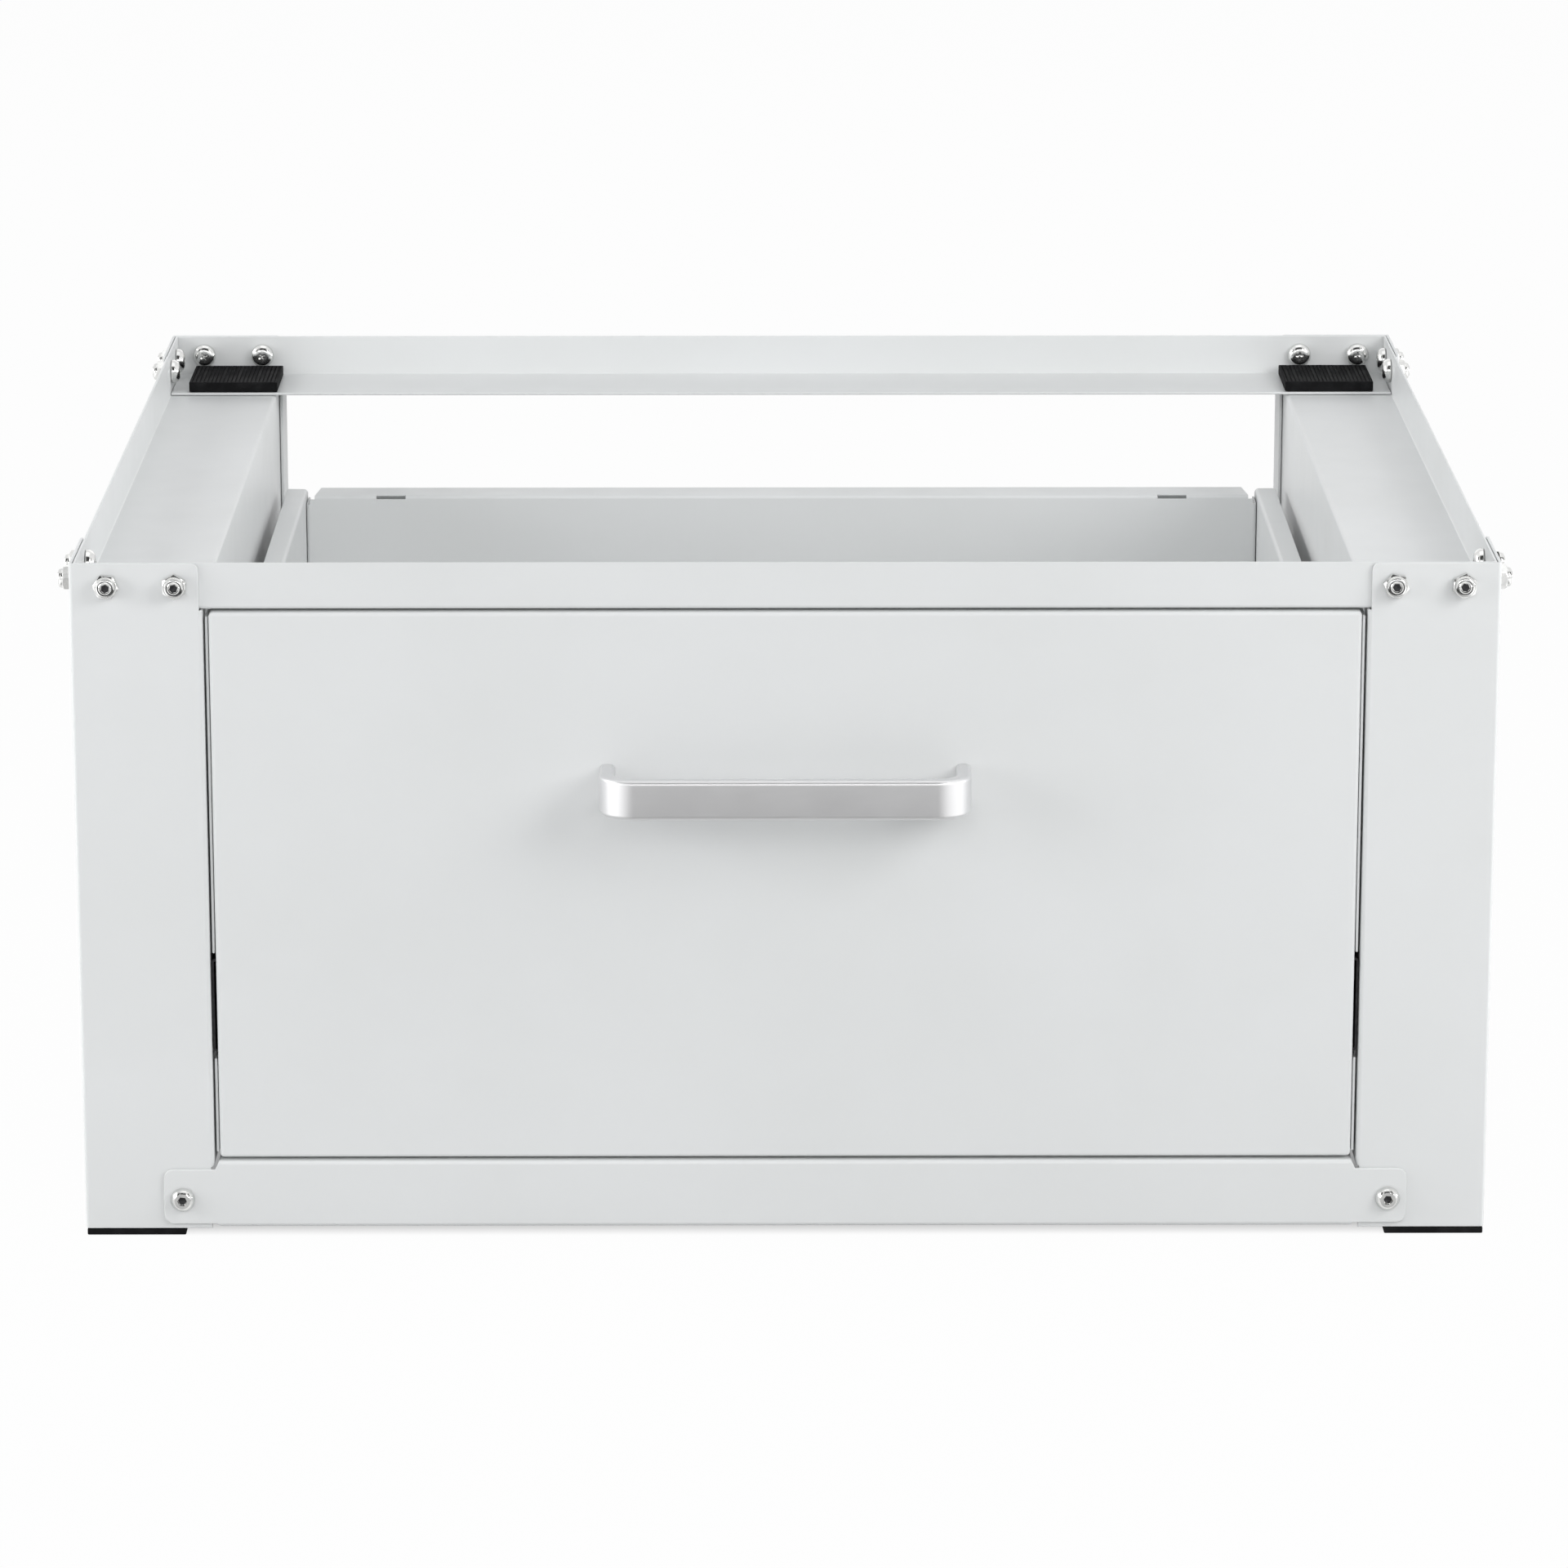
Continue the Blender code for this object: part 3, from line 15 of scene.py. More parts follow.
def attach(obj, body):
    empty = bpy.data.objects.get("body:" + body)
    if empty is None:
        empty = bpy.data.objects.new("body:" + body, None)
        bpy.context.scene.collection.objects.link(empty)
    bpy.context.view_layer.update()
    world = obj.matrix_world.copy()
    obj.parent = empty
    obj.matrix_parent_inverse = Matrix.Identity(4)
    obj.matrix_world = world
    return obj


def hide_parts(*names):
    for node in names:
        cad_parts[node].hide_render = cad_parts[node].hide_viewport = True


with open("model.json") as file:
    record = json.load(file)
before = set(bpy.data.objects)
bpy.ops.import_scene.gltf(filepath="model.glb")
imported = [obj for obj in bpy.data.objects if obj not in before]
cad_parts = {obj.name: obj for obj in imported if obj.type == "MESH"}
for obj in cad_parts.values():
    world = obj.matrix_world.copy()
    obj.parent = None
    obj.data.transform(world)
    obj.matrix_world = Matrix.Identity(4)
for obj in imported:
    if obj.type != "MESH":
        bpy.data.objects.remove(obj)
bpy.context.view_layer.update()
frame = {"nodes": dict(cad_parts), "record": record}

LOG = logging.getLogger("pedestal")
ROUNDED_TURN = math.radians(50)  # an edge that turns by more is rounded
ROUNDED_SHARE = 0.8  # share of a face's own reach that its rounding may take
MITRE_LIMIT = 0.3  # keeps a sheet's corner points from running off at a sharp fold
COPY_MERGE = 1e-7  # merges doubles within a copy, but no two copies
RECESS_TAPER = 0.55  # length of a cross recess at its foot, in shares of that at the head
RECESS_PILOT = ((0, 1), (0.85, 1), (0.75, -0.7), (0, -1.35))  # in slot widths and depths

Outline = Sequence[tuple[float, float]]
Seats = list[tuple[Vector, Vector]]


class Side(Enum):
    """The pedestal's two sides, by the sign of x."""

    LEFT = -1
    RIGHT = 1


class End(Enum):
    """The pedestal's two ends."""

    FRONT = "front"
    REAR = "rear"


@dataclass(frozen=True)
class Bench:
    """Sizes shared by the sub-assemblies, measured from the posts' front faces."""

    width: float = 0.630
    depth: float = 0.540
    height: float = 0.310
    handle_reach: float = 0.031
    nut_reach: float = 0.0063
    gap: float = 0.0003

    @property
    def front(self) -> float:
        """The y of the posts' front faces."""
        return (self.handle_reach - self.depth - self.nut_reach) / 2

    def point(self, x: float, back: float, z: float) -> Vector:
        """A point given by its distance back from the front faces.

        Args:
            x: Distance to the right of the middle.
            back: Distance behind the posts' front faces.
            z: Height above the floor.

        Returns:
            The point in the frame's own axes.
        """
        return Vector((x, self.front + back, z))

    def across(self, point: Vector, side: Side, end: End) -> Vector:
        """The mirror image of a front right point at another corner.

        Args:
            point: A point at the front right corner.
            side: The side wanted.
            end: The end wanted.

        Returns:
            The point at that corner.
        """
        y = point.y
        if end is End.REAR:
            y = 2 * self.front + self.depth - y
        return Vector((side.value * point.x, y, point.z))


BENCH = Bench()


class Wire:
    """A shader socket that takes part in sums."""

    def __init__(self, sketch: "Sketch", socket: bpy.types.NodeSocket) -> None:
        """Keep the socket and the sketch that it belongs to."""
        self.sketch = sketch
        self.socket = socket

    def _sum(self, operation: str, first: "Wire | float", second: "Wire | float") -> "Wire":
        """A Math node that joins two values."""
        return self.sketch.add("ShaderNodeMath", {"operation": operation}, {0: first, 1: second})

    def __add__(self, other: "Wire | float") -> "Wire":
        """Self plus other."""
        return self._sum("ADD", self, other)

    def __radd__(self, other: float) -> "Wire":
        """Other plus self."""
        return self._sum("ADD", other, self)

    def __sub__(self, other: "Wire | float") -> "Wire":
        """Self minus other."""
        return self._sum("SUBTRACT", self, other)

    def __rsub__(self, other: float) -> "Wire":
        """Other minus self."""
        return self._sum("SUBTRACT", other, self)

    def __mul__(self, other: "Wire | float") -> "Wire":
        """Self times other."""
        return self._sum("MULTIPLY", self, other)

    def __rmul__(self, other: float) -> "Wire":
        """Other times self."""
        return self._sum("MULTIPLY", other, self)

    def most(self, other: "Wire | float") -> "Wire":
        """The larger of self and other."""
        return self._sum("MAXIMUM", self, other)


def new_node(tree: bpy.types.NodeTree, kind: str, settings: dict[str, Any] | None,
             inputs: dict[Any, Any] | None) -> bpy.types.Node:
    """Add a node to a tree.

    Args:
        tree: The tree.
        kind: The node's type.
        settings: Its own settings, set before its sockets.
        inputs: Values, sockets or wires for its input sockets, by name or number.

    Returns:
        The node.
    """
    node = tree.nodes.new(kind)
    for name, value in (settings or {}).items():
        setattr(node, name, value)
    for name, value in (inputs or {}).items():
        source = value.socket if isinstance(value, Wire) else value
        if isinstance(source, bpy.types.NodeSocket):
            tree.links.new(source, node.inputs[name])
        else:
            node.inputs[name].default_value = source
    return node


@dataclass(frozen=True)
class Noise:
    """A noise over the object.

    Its scale is in cells to the metre and its detail in octaves. Stretch says how much finer it
    is along each axis, and share how much it counts in a sum.
    """

    scale: float
    detail: float = 2
    stretch: tuple[float, float, float] = (1, 1, 1)
    share: float = 1


class Sketch:
    """A node tree under construction, for a material or the world."""

    def __init__(self, tree: bpy.types.NodeTree) -> None:
        """Take a node tree and empty it."""
        self.tree = tree
        self.noises: dict[Noise, Wire] = {}
        tree.nodes.clear()

    def add(self, kind: str, settings: dict[str, Any] | None = None,
            inputs: dict[Any, Any] | None = None, output: Any = 0) -> Wire:
        """Add a node and return one of its outputs, by name or number, as a wire."""
        node = new_node(self.tree, kind, settings, inputs)
        return Wire(self, node.outputs[output] if node.outputs else node.inputs[0])

    def noise(self, noise: Noise) -> Wire:
        """A noise from 0 to 1, made once, times its share."""
        if noise not in self.noises:
            place = self.add("ShaderNodeTexCoord", output="Object")
            spot = self.add("ShaderNodeMapping", inputs={"Vector": place, "Scale": noise.stretch})
            wire = self.add("ShaderNodeTexNoise", {"normalize": True},
                            {"Vector": spot, "Scale": noise.scale, "Detail": noise.detail})
            self.noises[noise] = wire if noise.share == 1 else wire * noise.share
        return self.noises[noise]

    def summed(self, noises: Sequence[Noise]) -> Wire:
        """The sum of some noises."""
        total = self.noise(noises[0])
        for noise in noises[1:]:
            total = total + self.noise(noise)
        return total

    def spread(self, value: Wire, low: float, high: float, to_low: float, to_high: float) -> Wire:
        """A value's range moved to another and clamped."""
        return self.add("ShaderNodeMapRange", {"clamp": True},
                        {"Value": value, "From Min": low, "From Max": high, "To Min": to_low,
                         "To Max": to_high})

    def tint(self, factor: Wire, first: Sequence[float], second: Sequence[float]) -> Wire:
        """A colour between two, by a factor."""
        return self.add("ShaderNodeMix", {"data_type": "RGBA"},
                        {"Factor": factor, 6: (*first, 1), 7: (*second, 1)}, output=2)

    def close(self, shader: Wire, kind: str = "Material") -> None:
        """End a material or the world in its output node."""
        self.add(f"ShaderNodeOutput{kind}", inputs={"Surface": shader})

    def seen(self) -> Wire:
        """1 on a ray that shows a surface or its mirror image, 0 on a ray that lights others."""
        paths = self.add("ShaderNodeLightPath").socket.node.outputs
        camera, glossy, through = (Wire(self, paths[f"Is {kind} Ray"])
                                   for kind in ("Camera", "Glossy", "Transmission"))
        return camera.most(glossy).most(through)


@dataclass(frozen=True)
class Finish:
    """A finish: its material and the record's slot that it belongs to."""

    material: bpy.types.Material
    slot: str


def new_sketch(name: str, colour: Sequence[float]) -> tuple[bpy.types.Material, Sketch]:
    """An empty node material and its sketch."""
    material = bpy.data.materials.new(name)
    material.use_nodes = True
    material.diffuse_color = (*colour, 1)
    return material, Sketch(material.node_tree)


@dataclass(frozen=True)
class Lead:
    """What a property follows: a sum of noises, from a low value to a high one."""

    noises: tuple[Noise, ...]
    low: float = 0
    high: float = 1


@dataclass(frozen=True)
class Recipe:
    """A finish in numbers.

    Its colour goes from one to the other as patches leads, and its roughness as gloss leads. The
    relief's noises make a bump of a strength and a height in metres.
    """

    name: str
    slot: str
    colour: tuple[float, float, float]
    other: tuple[float, float, float]
    patches: Lead
    roughness: tuple[float, float]
    gloss: Lead
    relief: tuple[Noise, ...] = ()
    bump: tuple[float, float] = (0, 0)
    metallic: float = 0
    specular: float = 0.5

    def make(self) -> Finish:
        """The finish."""
        material, sketch = new_sketch(self.name, self.colour)

        def led(lead: Lead, start: float, end: float) -> Wire:
            """A value from start to end."""
            return sketch.spread(sketch.summed(lead.noises), lead.low, lead.high, start, end)

        inputs = {"Base Color": sketch.tint(led(self.patches, 0, 1), self.colour, self.other),
                  "Roughness": led(self.gloss, *self.roughness),
                  "Metallic": self.metallic, "IOR": 1.5, "Specular IOR Level": self.specular}
        if self.relief:
            inputs["Normal"] = sketch.add("ShaderNodeBump", inputs={
                "Height": sketch.summed(self.relief), "Strength": self.bump[0],
                "Distance": self.bump[1]})
        sketch.close(sketch.add("ShaderNodeBsdfPrincipled", inputs=inputs))
        return Finish(material, self.slot)


SCRATCH = Noise(900)
BRUSHED = Noise(6000, 2, (0.012, 1, 1))
GRAIN = Noise(1500)
DRAWN = Noise(420, 3, (1, 0.04, 1))
SWIRL = Noise(700)

# White powder coat: a faint orange peel and slightly uneven gloss.
POWDER_COAT = Recipe("powder_coat_white", "white_enamel",
                     (0.765, 0.775, 0.775), (0.745, 0.755, 0.752),
                     Lead((Noise(9, 3),), 0.35, 0.65),
                     (0.36, 0.45), Lead((Noise(55, 3),), 0.3, 0.7),
                     (Noise(620, 1, share=0.75), Noise(1984, 1, share=0.25)), (0.3, 0.00003),
                     specular=0.25)
# Bright zinc plate, near a mirror, with faint stains and marks.
ZINC_PLATE = Recipe("zinc_plate", "bright_zinc",
                    (0.80, 0.80, 0.785), (0.66, 0.665, 0.66), Lead((Noise(240, 3),), 0.35, 0.7),
                    (0.13, 0.21), Lead((SCRATCH,), 0.3, 0.7), (SCRATCH,), (0.12, 0.00003),
                    metallic=1)
# Polished steel of the runners' balls.
BALL_STEEL = replace(ZINC_PLATE, name="ball_steel", colour=(0.78, 0.78, 0.79),
                     other=(0.7, 0.7, 0.71), roughness=(0.06, 0.14))
# Satin anodised aluminium, brushed along the bar.
BRUSHED_ALUMINIUM = Recipe("brushed_aluminium", "satin_aluminium",
                           (0.80, 0.80, 0.805), (0.77, 0.77, 0.778), Lead((BRUSHED,), 1, 0),
                           (0.41, 0.46), Lead((BRUSHED, Noise(45, share=0.4)), 0.5, 1),
                           (BRUSHED,), (0.025, 0.00001), metallic=1)
# Black moulded rubber with a fine grain and paler patches of dust.
MOULDED_RUBBER = Recipe("moulded_rubber", "black_rubber",
                        (0.0080, 0.0080, 0.0086), (0.019, 0.019, 0.020),
                        Lead((Noise(130, 4),), 0.45, 0.8), (0.74, 0.90), Lead((GRAIN,), 0.2, 0.8),
                        (GRAIN,), (0.3, 0.00005), specular=0.09)
# Thin black coat of the runners, drawn lengthwise, with a trace of grease and of bare metal.
# The same coat also serves as painted shade on the dark discs in the bolts' tips and the screws'
# sockets.
RUNNER_COAT = Recipe("runner_coat_black", "black_runner",
                     (0.019, 0.019, 0.021), (0.050, 0.050, 0.052), Lead((DRAWN,), 0.45, 0.8),
                     (0.26, 0.42), Lead((Noise(38, 3),), 0.35, 0.65), (DRAWN,), (0.15, 0.00003),
                     metallic=0.45)
# Dark moulded polymer of lock rings and stops.
MOULDED_POLYMER = Recipe("moulded_polymer", "black_rubber",
                         (0.03, 0.03, 0.034), (0.06, 0.06, 0.065), Lead((SWIRL,)),
                         (0.35, 0.5), Lead((SWIRL,), 0.3, 0.7))


@dataclass
class Finishes:
    """Every finish, made once."""

    coat: Finish = field(default_factory=POWDER_COAT.make)
    zinc: Finish = field(default_factory=ZINC_PLATE.make)
    ball: Finish = field(default_factory=BALL_STEEL.make)
    bar: Finish = field(default_factory=BRUSHED_ALUMINIUM.make)
    rubber: Finish = field(default_factory=MOULDED_RUBBER.make)
    runner: Finish = field(default_factory=RUNNER_COAT.make)
    polymer: Finish = field(default_factory=MOULDED_POLYMER.make)


def mesh_from(shape: bmesh.types.BMesh, name: str) -> bpy.types.Mesh:
    """Turn a bmesh into a mesh and free it."""
    mesh = bpy.data.meshes.new(name)
    shape.to_mesh(mesh)
    shape.free()
    return mesh


def closed_outwards(mesh: bpy.types.Mesh, merge: float = 1e-6) -> bpy.types.Mesh:
    """Merge doubles and point the faces outwards."""
    shape = bmesh.new()
    shape.from_mesh(mesh)
    bmesh.ops.remove_doubles(shape, verts=shape.verts, dist=merge)
    bmesh.ops.recalc_face_normals(shape, faces=shape.faces)
    shape.to_mesh(mesh)
    shape.free()
    return mesh


def smooth(mesh: bpy.types.Mesh, angle: float = 32) -> bpy.types.Mesh:
    """Shade a mesh smooth up to an angle in degrees."""
    mesh.shade_smooth()
    mesh.set_sharp_from_angle(angle=math.radians(angle))
    return mesh


def show(name: str, mesh: bpy.types.Mesh) -> bpy.types.Object:
    """An object for a mesh, in the scene."""
    piece = bpy.data.objects.new(name, mesh)
    bpy.context.scene.collection.objects.link(piece)
    return piece


def settled(piece: bpy.types.Object) -> bpy.types.Mesh:
    """A piece's mesh with its modifiers applied. The piece itself is taken away."""
    bpy.context.view_layer.update()
    graph = bpy.context.evaluated_depsgraph_get()
    mesh = bpy.data.meshes.new_from_object(piece.evaluated_get(graph))
    piece.modifiers.clear()
    bpy.data.objects.remove(piece)
    return mesh


def dress(name: str, mesh: bpy.types.Mesh, finish: Finish, body: str,
          nodes: Iterable[str] = ()) -> bpy.types.Object:
    """Show a finished piece on its body.

    Args:
        name: The piece's name.
        mesh: Its mesh, in place.
        finish: Its finish.
        body: The body that it rides on.
        nodes: CAD nodes that it stands for.

    Returns:
        The piece.
    """
    mesh.name = name
    mesh.materials.clear()
    mesh.materials.append(finish.material)
    piece = show(name, mesh)
    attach(piece, body)
    nodes = list(nodes)
    if nodes:
        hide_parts(*nodes)
    LOG.info("%s: %d faces on %s, for %d nodes", name, len(mesh.polygons), body, len(nodes))
    return piece


def raised(outline: Outline, by: float) -> list[tuple[float, float]]:
    """An outline of points (radius, height), moved up."""
    return [(radius, height + by) for radius, height in outline]


def turned(outline: Outline, steps: int = 48) -> bpy.types.Mesh:
    """A solid turned round z.

    Args:
        outline: Points (radius, height) from the axis above to the axis below.
        steps: Steps round the axis.

    Returns:
        The closed mesh.
    """
    shape = bmesh.new()
    points = [shape.verts.new((radius, 0, height)) for radius, height in outline]
    edges = [shape.edges.new(pair) for pair in zip(points, points[1:])]
    bmesh.ops.spin(shape, geom=points + edges, angle=math.tau, steps=steps, axis=(0, 0, 1),
                   cent=(0, 0, 0))
    return closed_outwards(mesh_from(shape, "turned"))


def hexagon(radius: float, low: float, high: float) -> bpy.types.Mesh:
    """An upright six-sided bar round z, by the radius of its corners."""
    shape = bmesh.new()
    bmesh.ops.create_cone(shape, cap_ends=True, segments=6, radius1=radius, radius2=radius,
                          depth=high - low, matrix=Matrix.Translation((0, 0, (low + high) / 2)))
    return mesh_from(shape, "hexagon")


def sphere(radius: float) -> bpy.types.Mesh:
    """A ball about the origin."""
    shape = bmesh.new()
    bmesh.ops.create_uvsphere(shape, u_segments=16, v_segments=10, radius=radius)
    return mesh_from(shape, "ball")


def block(size: Sequence[float], middle: Sequence[float]) -> bpy.types.Mesh:
    """A box by its size and middle."""
    shape = bmesh.new()
    place = Matrix.Translation(middle) @ Matrix.Diagonal((*size, 1))
    bmesh.ops.create_cube(shape, size=1, matrix=place)
    return mesh_from(shape, "block")


def joined(meshes: Iterable[bpy.types.Mesh]) -> bpy.types.Mesh:
    """One mesh of several loose parts."""
    shape = bmesh.new()
    for mesh in meshes:
        shape.from_mesh(mesh)
    return mesh_from(shape, "joined")


def cut(mesh: bpy.types.Mesh, tool: bpy.types.Mesh,
        operation: str = "DIFFERENCE") -> bpy.types.Mesh:
    """A Boolean of two closed meshes."""
    base = show("base", mesh)
    other = show("tool", tool)
    modifier = base.modifiers.new("cut", "BOOLEAN")
    modifier.object = other
    modifier.operation = operation
    modifier.solver = "EXACT"
    result = settled(base)
    bpy.data.objects.remove(other)
    return result


class GeometryTree:
    """A Geometry Nodes tree built with named inputs."""

    def __init__(self, name: str, inputs: Sequence[tuple[str, str, Any]]) -> None:
        """Make the tree and its group inputs.

        Args:
            name: The tree's name.
            inputs: Rows of (name, socket type, default).
        """
        self.tree = bpy.data.node_groups.new(name, "GeometryNodeTree")
        face = self.tree.interface
        face.new_socket("Geometry", in_out="INPUT", socket_type="NodeSocketGeometry")
        face.new_socket("Geometry", in_out="OUTPUT", socket_type="NodeSocketGeometry")
        self.identifiers: dict[str, str] = {}
        for label, kind, default in inputs:
            socket = face.new_socket(label, in_out="INPUT", socket_type=kind)
            if default is not None:
                socket.default_value = default
            self.identifiers[label] = socket.identifier
        self.group = self.tree.nodes.new("NodeGroupInput")

    def named(self, label: str) -> bpy.types.NodeSocket:
        """The output that carries a named input."""
        return self.group.outputs[label]

    def add(self, kind: str, settings: dict[str, Any] | None = None,
            inputs: dict[Any, Any] | None = None, output: Any = 0) -> bpy.types.NodeSocket:
        """Add a node and return one of its output sockets, by name or number."""
        return new_node(self.tree, kind, settings, inputs).outputs[output]

    def close(self, geometry: bpy.types.NodeSocket) -> None:
        """End in Realize Instances and Set Material."""
        solid = self.add("GeometryNodeRealizeInstances", inputs={"Geometry": geometry})
        finished = self.add("GeometryNodeSetMaterial",
                            inputs={"Geometry": solid, "Material": self.named("Finish")})
        end = self.tree.nodes.new("NodeGroupOutput")
        self.tree.links.new(finished, end.inputs["Geometry"])

    def grow(self, base: bpy.types.Mesh, values: dict[str, Any]) -> bpy.types.Mesh:
        """Run the tree on a mesh.

        Args:
            base: The mesh that the tree starts from.
            values: Values for its named inputs.

        Returns:
            The plain mesh that it makes.
        """
        carrier = show("carrier", base)
        modifier = carrier.modifiers.new("tree", "NODES")
        modifier.node_group = self.tree
        for label, value in values.items():
            modifier[self.identifiers[label]] = value
        return settled(carrier)


def stud_tree() -> GeometryTree:
    """Tree that stands a fastener on each point, turned at random about its own axis."""
    tree = GeometryTree("fastener_on_each_point", [
        ("Master", "NodeSocketObject", None), ("Seed", "NodeSocketInt", 3),
        ("Turn", "NodeSocketFloat", math.tau), ("Finish", "NodeSocketMaterial", None)])
    master = tree.add("GeometryNodeObjectInfo", {"transform_space": "ORIGINAL"},
                      {"Object": tree.named("Master")}, "Geometry")
    way = tree.add("GeometryNodeInputNamedAttribute", {"data_type": "FLOAT_VECTOR"},
                   {"Name": "way"})
    aimed = tree.add("FunctionNodeAlignRotationToVector", {"axis": "Z"}, {"Vector": way})
    spin = tree.add("FunctionNodeRandomValue", {"data_type": "FLOAT"},
                    {2: 0.0, 3: tree.named("Turn"), "Seed": tree.named("Seed")}, 1)
    about = tree.add("FunctionNodeAxisAngleToRotation", inputs={"Axis": (0, 0, 1), "Angle": spin})
    turn = tree.add("FunctionNodeRotateRotation", {"rotation_space": "LOCAL"},
                    {"Rotation": aimed, "Rotate By": about})
    copies = tree.add("GeometryNodeInstanceOnPoints",
                      inputs={"Points": tree.named("Geometry"), "Instance": master,
                              "Rotation": turn})
    tree.close(copies)
    return tree


def row_tree() -> GeometryTree:
    """Tree that lays an even row of copies of a master from each point."""
    tree = GeometryTree("row_from_each_point", [
        ("Master", "NodeSocketObject", None), ("Count", "NodeSocketInt", 5),
        ("Pitch", "NodeSocketVector", (0.003, 0, 0)), ("Finish", "NodeSocketMaterial", None)])
    line = tree.add("GeometryNodeMeshLine", {"mode": "OFFSET"},
                    {"Count": tree.named("Count"), "Offset": tree.named("Pitch")})
    rows = tree.add("GeometryNodeInstanceOnPoints",
                    inputs={"Points": tree.named("Geometry"), "Instance": line})
    points = tree.add("GeometryNodeRealizeInstances", inputs={"Geometry": rows})
    master = tree.add("GeometryNodeObjectInfo", {"transform_space": "ORIGINAL"},
                      {"Object": tree.named("Master")}, "Geometry")
    copies = tree.add("GeometryNodeInstanceOnPoints",
                      inputs={"Points": points, "Instance": master})
    tree.close(copies)
    return tree


def bow_tree() -> GeometryTree:
    """Tree that sweeps a rounded bar round a bow from the two roots to the grip."""
    tree = GeometryTree("bow_of_rounded_bar", [
        ("Bend", "NodeSocketFloat", 0.009), ("Thickness", "NodeSocketFloat", 0.0065),
        ("Tall", "NodeSocketFloat", 0.018), ("Edge", "NodeSocketFloat", 0.002),
        ("Bend steps", "NodeSocketInt", 12), ("Edge steps", "NodeSocketInt", 4),
        ("Finish", "NodeSocketMaterial", None)])
    line = tree.add("GeometryNodeMeshToCurve", inputs={"Mesh": tree.named("Geometry")})
    upright = tree.add("GeometryNodeSetCurveNormal", {"mode": "Z_UP"}, {"Curve": line})
    bow = tree.add("GeometryNodeFilletCurve", {"mode": "POLY"},
                   {"Curve": upright, "Radius": tree.named("Bend"),
                    "Count": tree.named("Bend steps")})
    flat = tree.add("GeometryNodeCurvePrimitiveQuadrilateral", {"mode": "RECTANGLE"},
                    {"Width": tree.named("Thickness"), "Height": tree.named("Tall")})
    profile = tree.add("GeometryNodeFilletCurve", {"mode": "POLY"},
                       {"Curve": flat, "Radius": tree.named("Edge"),
                        "Count": tree.named("Edge steps")})
    bar = tree.add("GeometryNodeCurveToMesh",
                   inputs={"Curve": bow, "Profile Curve": profile, "Fill Caps": True})
    tree.close(bar)
    return tree


@dataclass
class Workshop:
    """The three Geometry Nodes trees and what is laid with them."""

    studs: GeometryTree = field(default_factory=stud_tree)
    rows: GeometryTree = field(default_factory=row_tree)
    bows: GeometryTree = field(default_factory=bow_tree)

    def fasten(self, name: str, master: bpy.types.Mesh, spots: Seats, finish: Finish, body: str,
               nodes: Iterable[str] = (), seed: int = 3) -> None:
        """Show a fastener on every spot as one piece, each copy turned at random about its axis.

        Args:
            name: The piece's name.
            master: The fastener, with its head along +z and its seat at the origin.
            spots: Pairs of seat and the way that the head looks.
            finish: Its finish.
            body: The body that it rides on.
            nodes: CAD nodes that it stands for.
            seed: Seed of the turns.
        """
        shape = bmesh.new()
        layer = shape.verts.layers.float_vector.new("way")
        for seat, way in spots:
            shape.verts.new(seat)[layer] = way
        mesh = self.grown(self.studs, mesh_from(shape, "spots"), master,
                          {"Seed": seed, "Turn": math.tau, "Finish": finish.material})
        dress(name, mesh, finish, body, nodes)

    def row(self, master: bpy.types.Mesh, starts: Sequence[Vector], count: int,
            pitch: Sequence[float], finish: Finish) -> bpy.types.Mesh:
        """Even rows of copies of a master.

        Args:
            master: The piece that repeats, about the origin.
            starts: Where each row starts.
            count: Copies in a row.
            pitch: Step from one copy to the next.
            finish: The copies' finish.

        Returns:
            One mesh of all the copies.
        """
        shape = bmesh.new()
        for start in starts:
            shape.verts.new(start)
        return self.grown(self.rows, mesh_from(shape, "starts"), master,
                          {"Count": count, "Pitch": tuple(pitch), "Finish": finish.material})

    @staticmethod
    def grown(tree: GeometryTree, base: bpy.types.Mesh, master: bpy.types.Mesh,
              values: dict[str, Any]) -> bpy.types.Mesh:
        """Run a tree that copies a master."""
        holder = show("master", master)
        mesh = tree.grow(base, {"Master": holder, **values})
        bpy.data.objects.remove(holder)
        return smooth(closed_outwards(mesh, COPY_MERGE))


def arc(centre: Sequence[float], radius: float, start: float, end: float,
        steps: int) -> list[tuple[float, float]]:
    """Points on an arc.

    Args:
        centre: The arc's centre.
        radius: Its radius.
        start: Its first angle in degrees.
        end: Its last angle in degrees.
        steps: Steps between them.

    Returns:
        The points in order.
    """
    points = []
    for step in range(steps + 1):
        angle = math.radians(start + (end - start) * step / steps)
        points.append((centre[0] + radius * math.cos(angle),
                       centre[1] + radius * math.sin(angle)))
    return points


def walled(path: Outline, sheet: float) -> list[tuple[float, float]]:
    """A closed outline of sheet laid half to each side of an open path.

    Args:
        path: The sheet's centre line.
        sheet: Its thickness.

    Returns:
        The outline's points.
    """
    points = [Vector(point) for point in path]
    near, far = [], []
    for number, point in enumerate(points):
        before = (point - points[number - 1]).normalized() if number else None
        after = (points[number + 1] - point).normalized() if number + 1 < len(points) else None
        first = before or after
        second = after or before
        normal = Vector((-first.y - second.y, first.x + second.x)).normalized()
        reach = sheet / 2 / max(normal.dot(Vector((-first.y, first.x))), MITRE_LIMIT)
        near.append(tuple(point + normal * reach))
        far.append(tuple(point - normal * reach))
    return near + far[::-1]


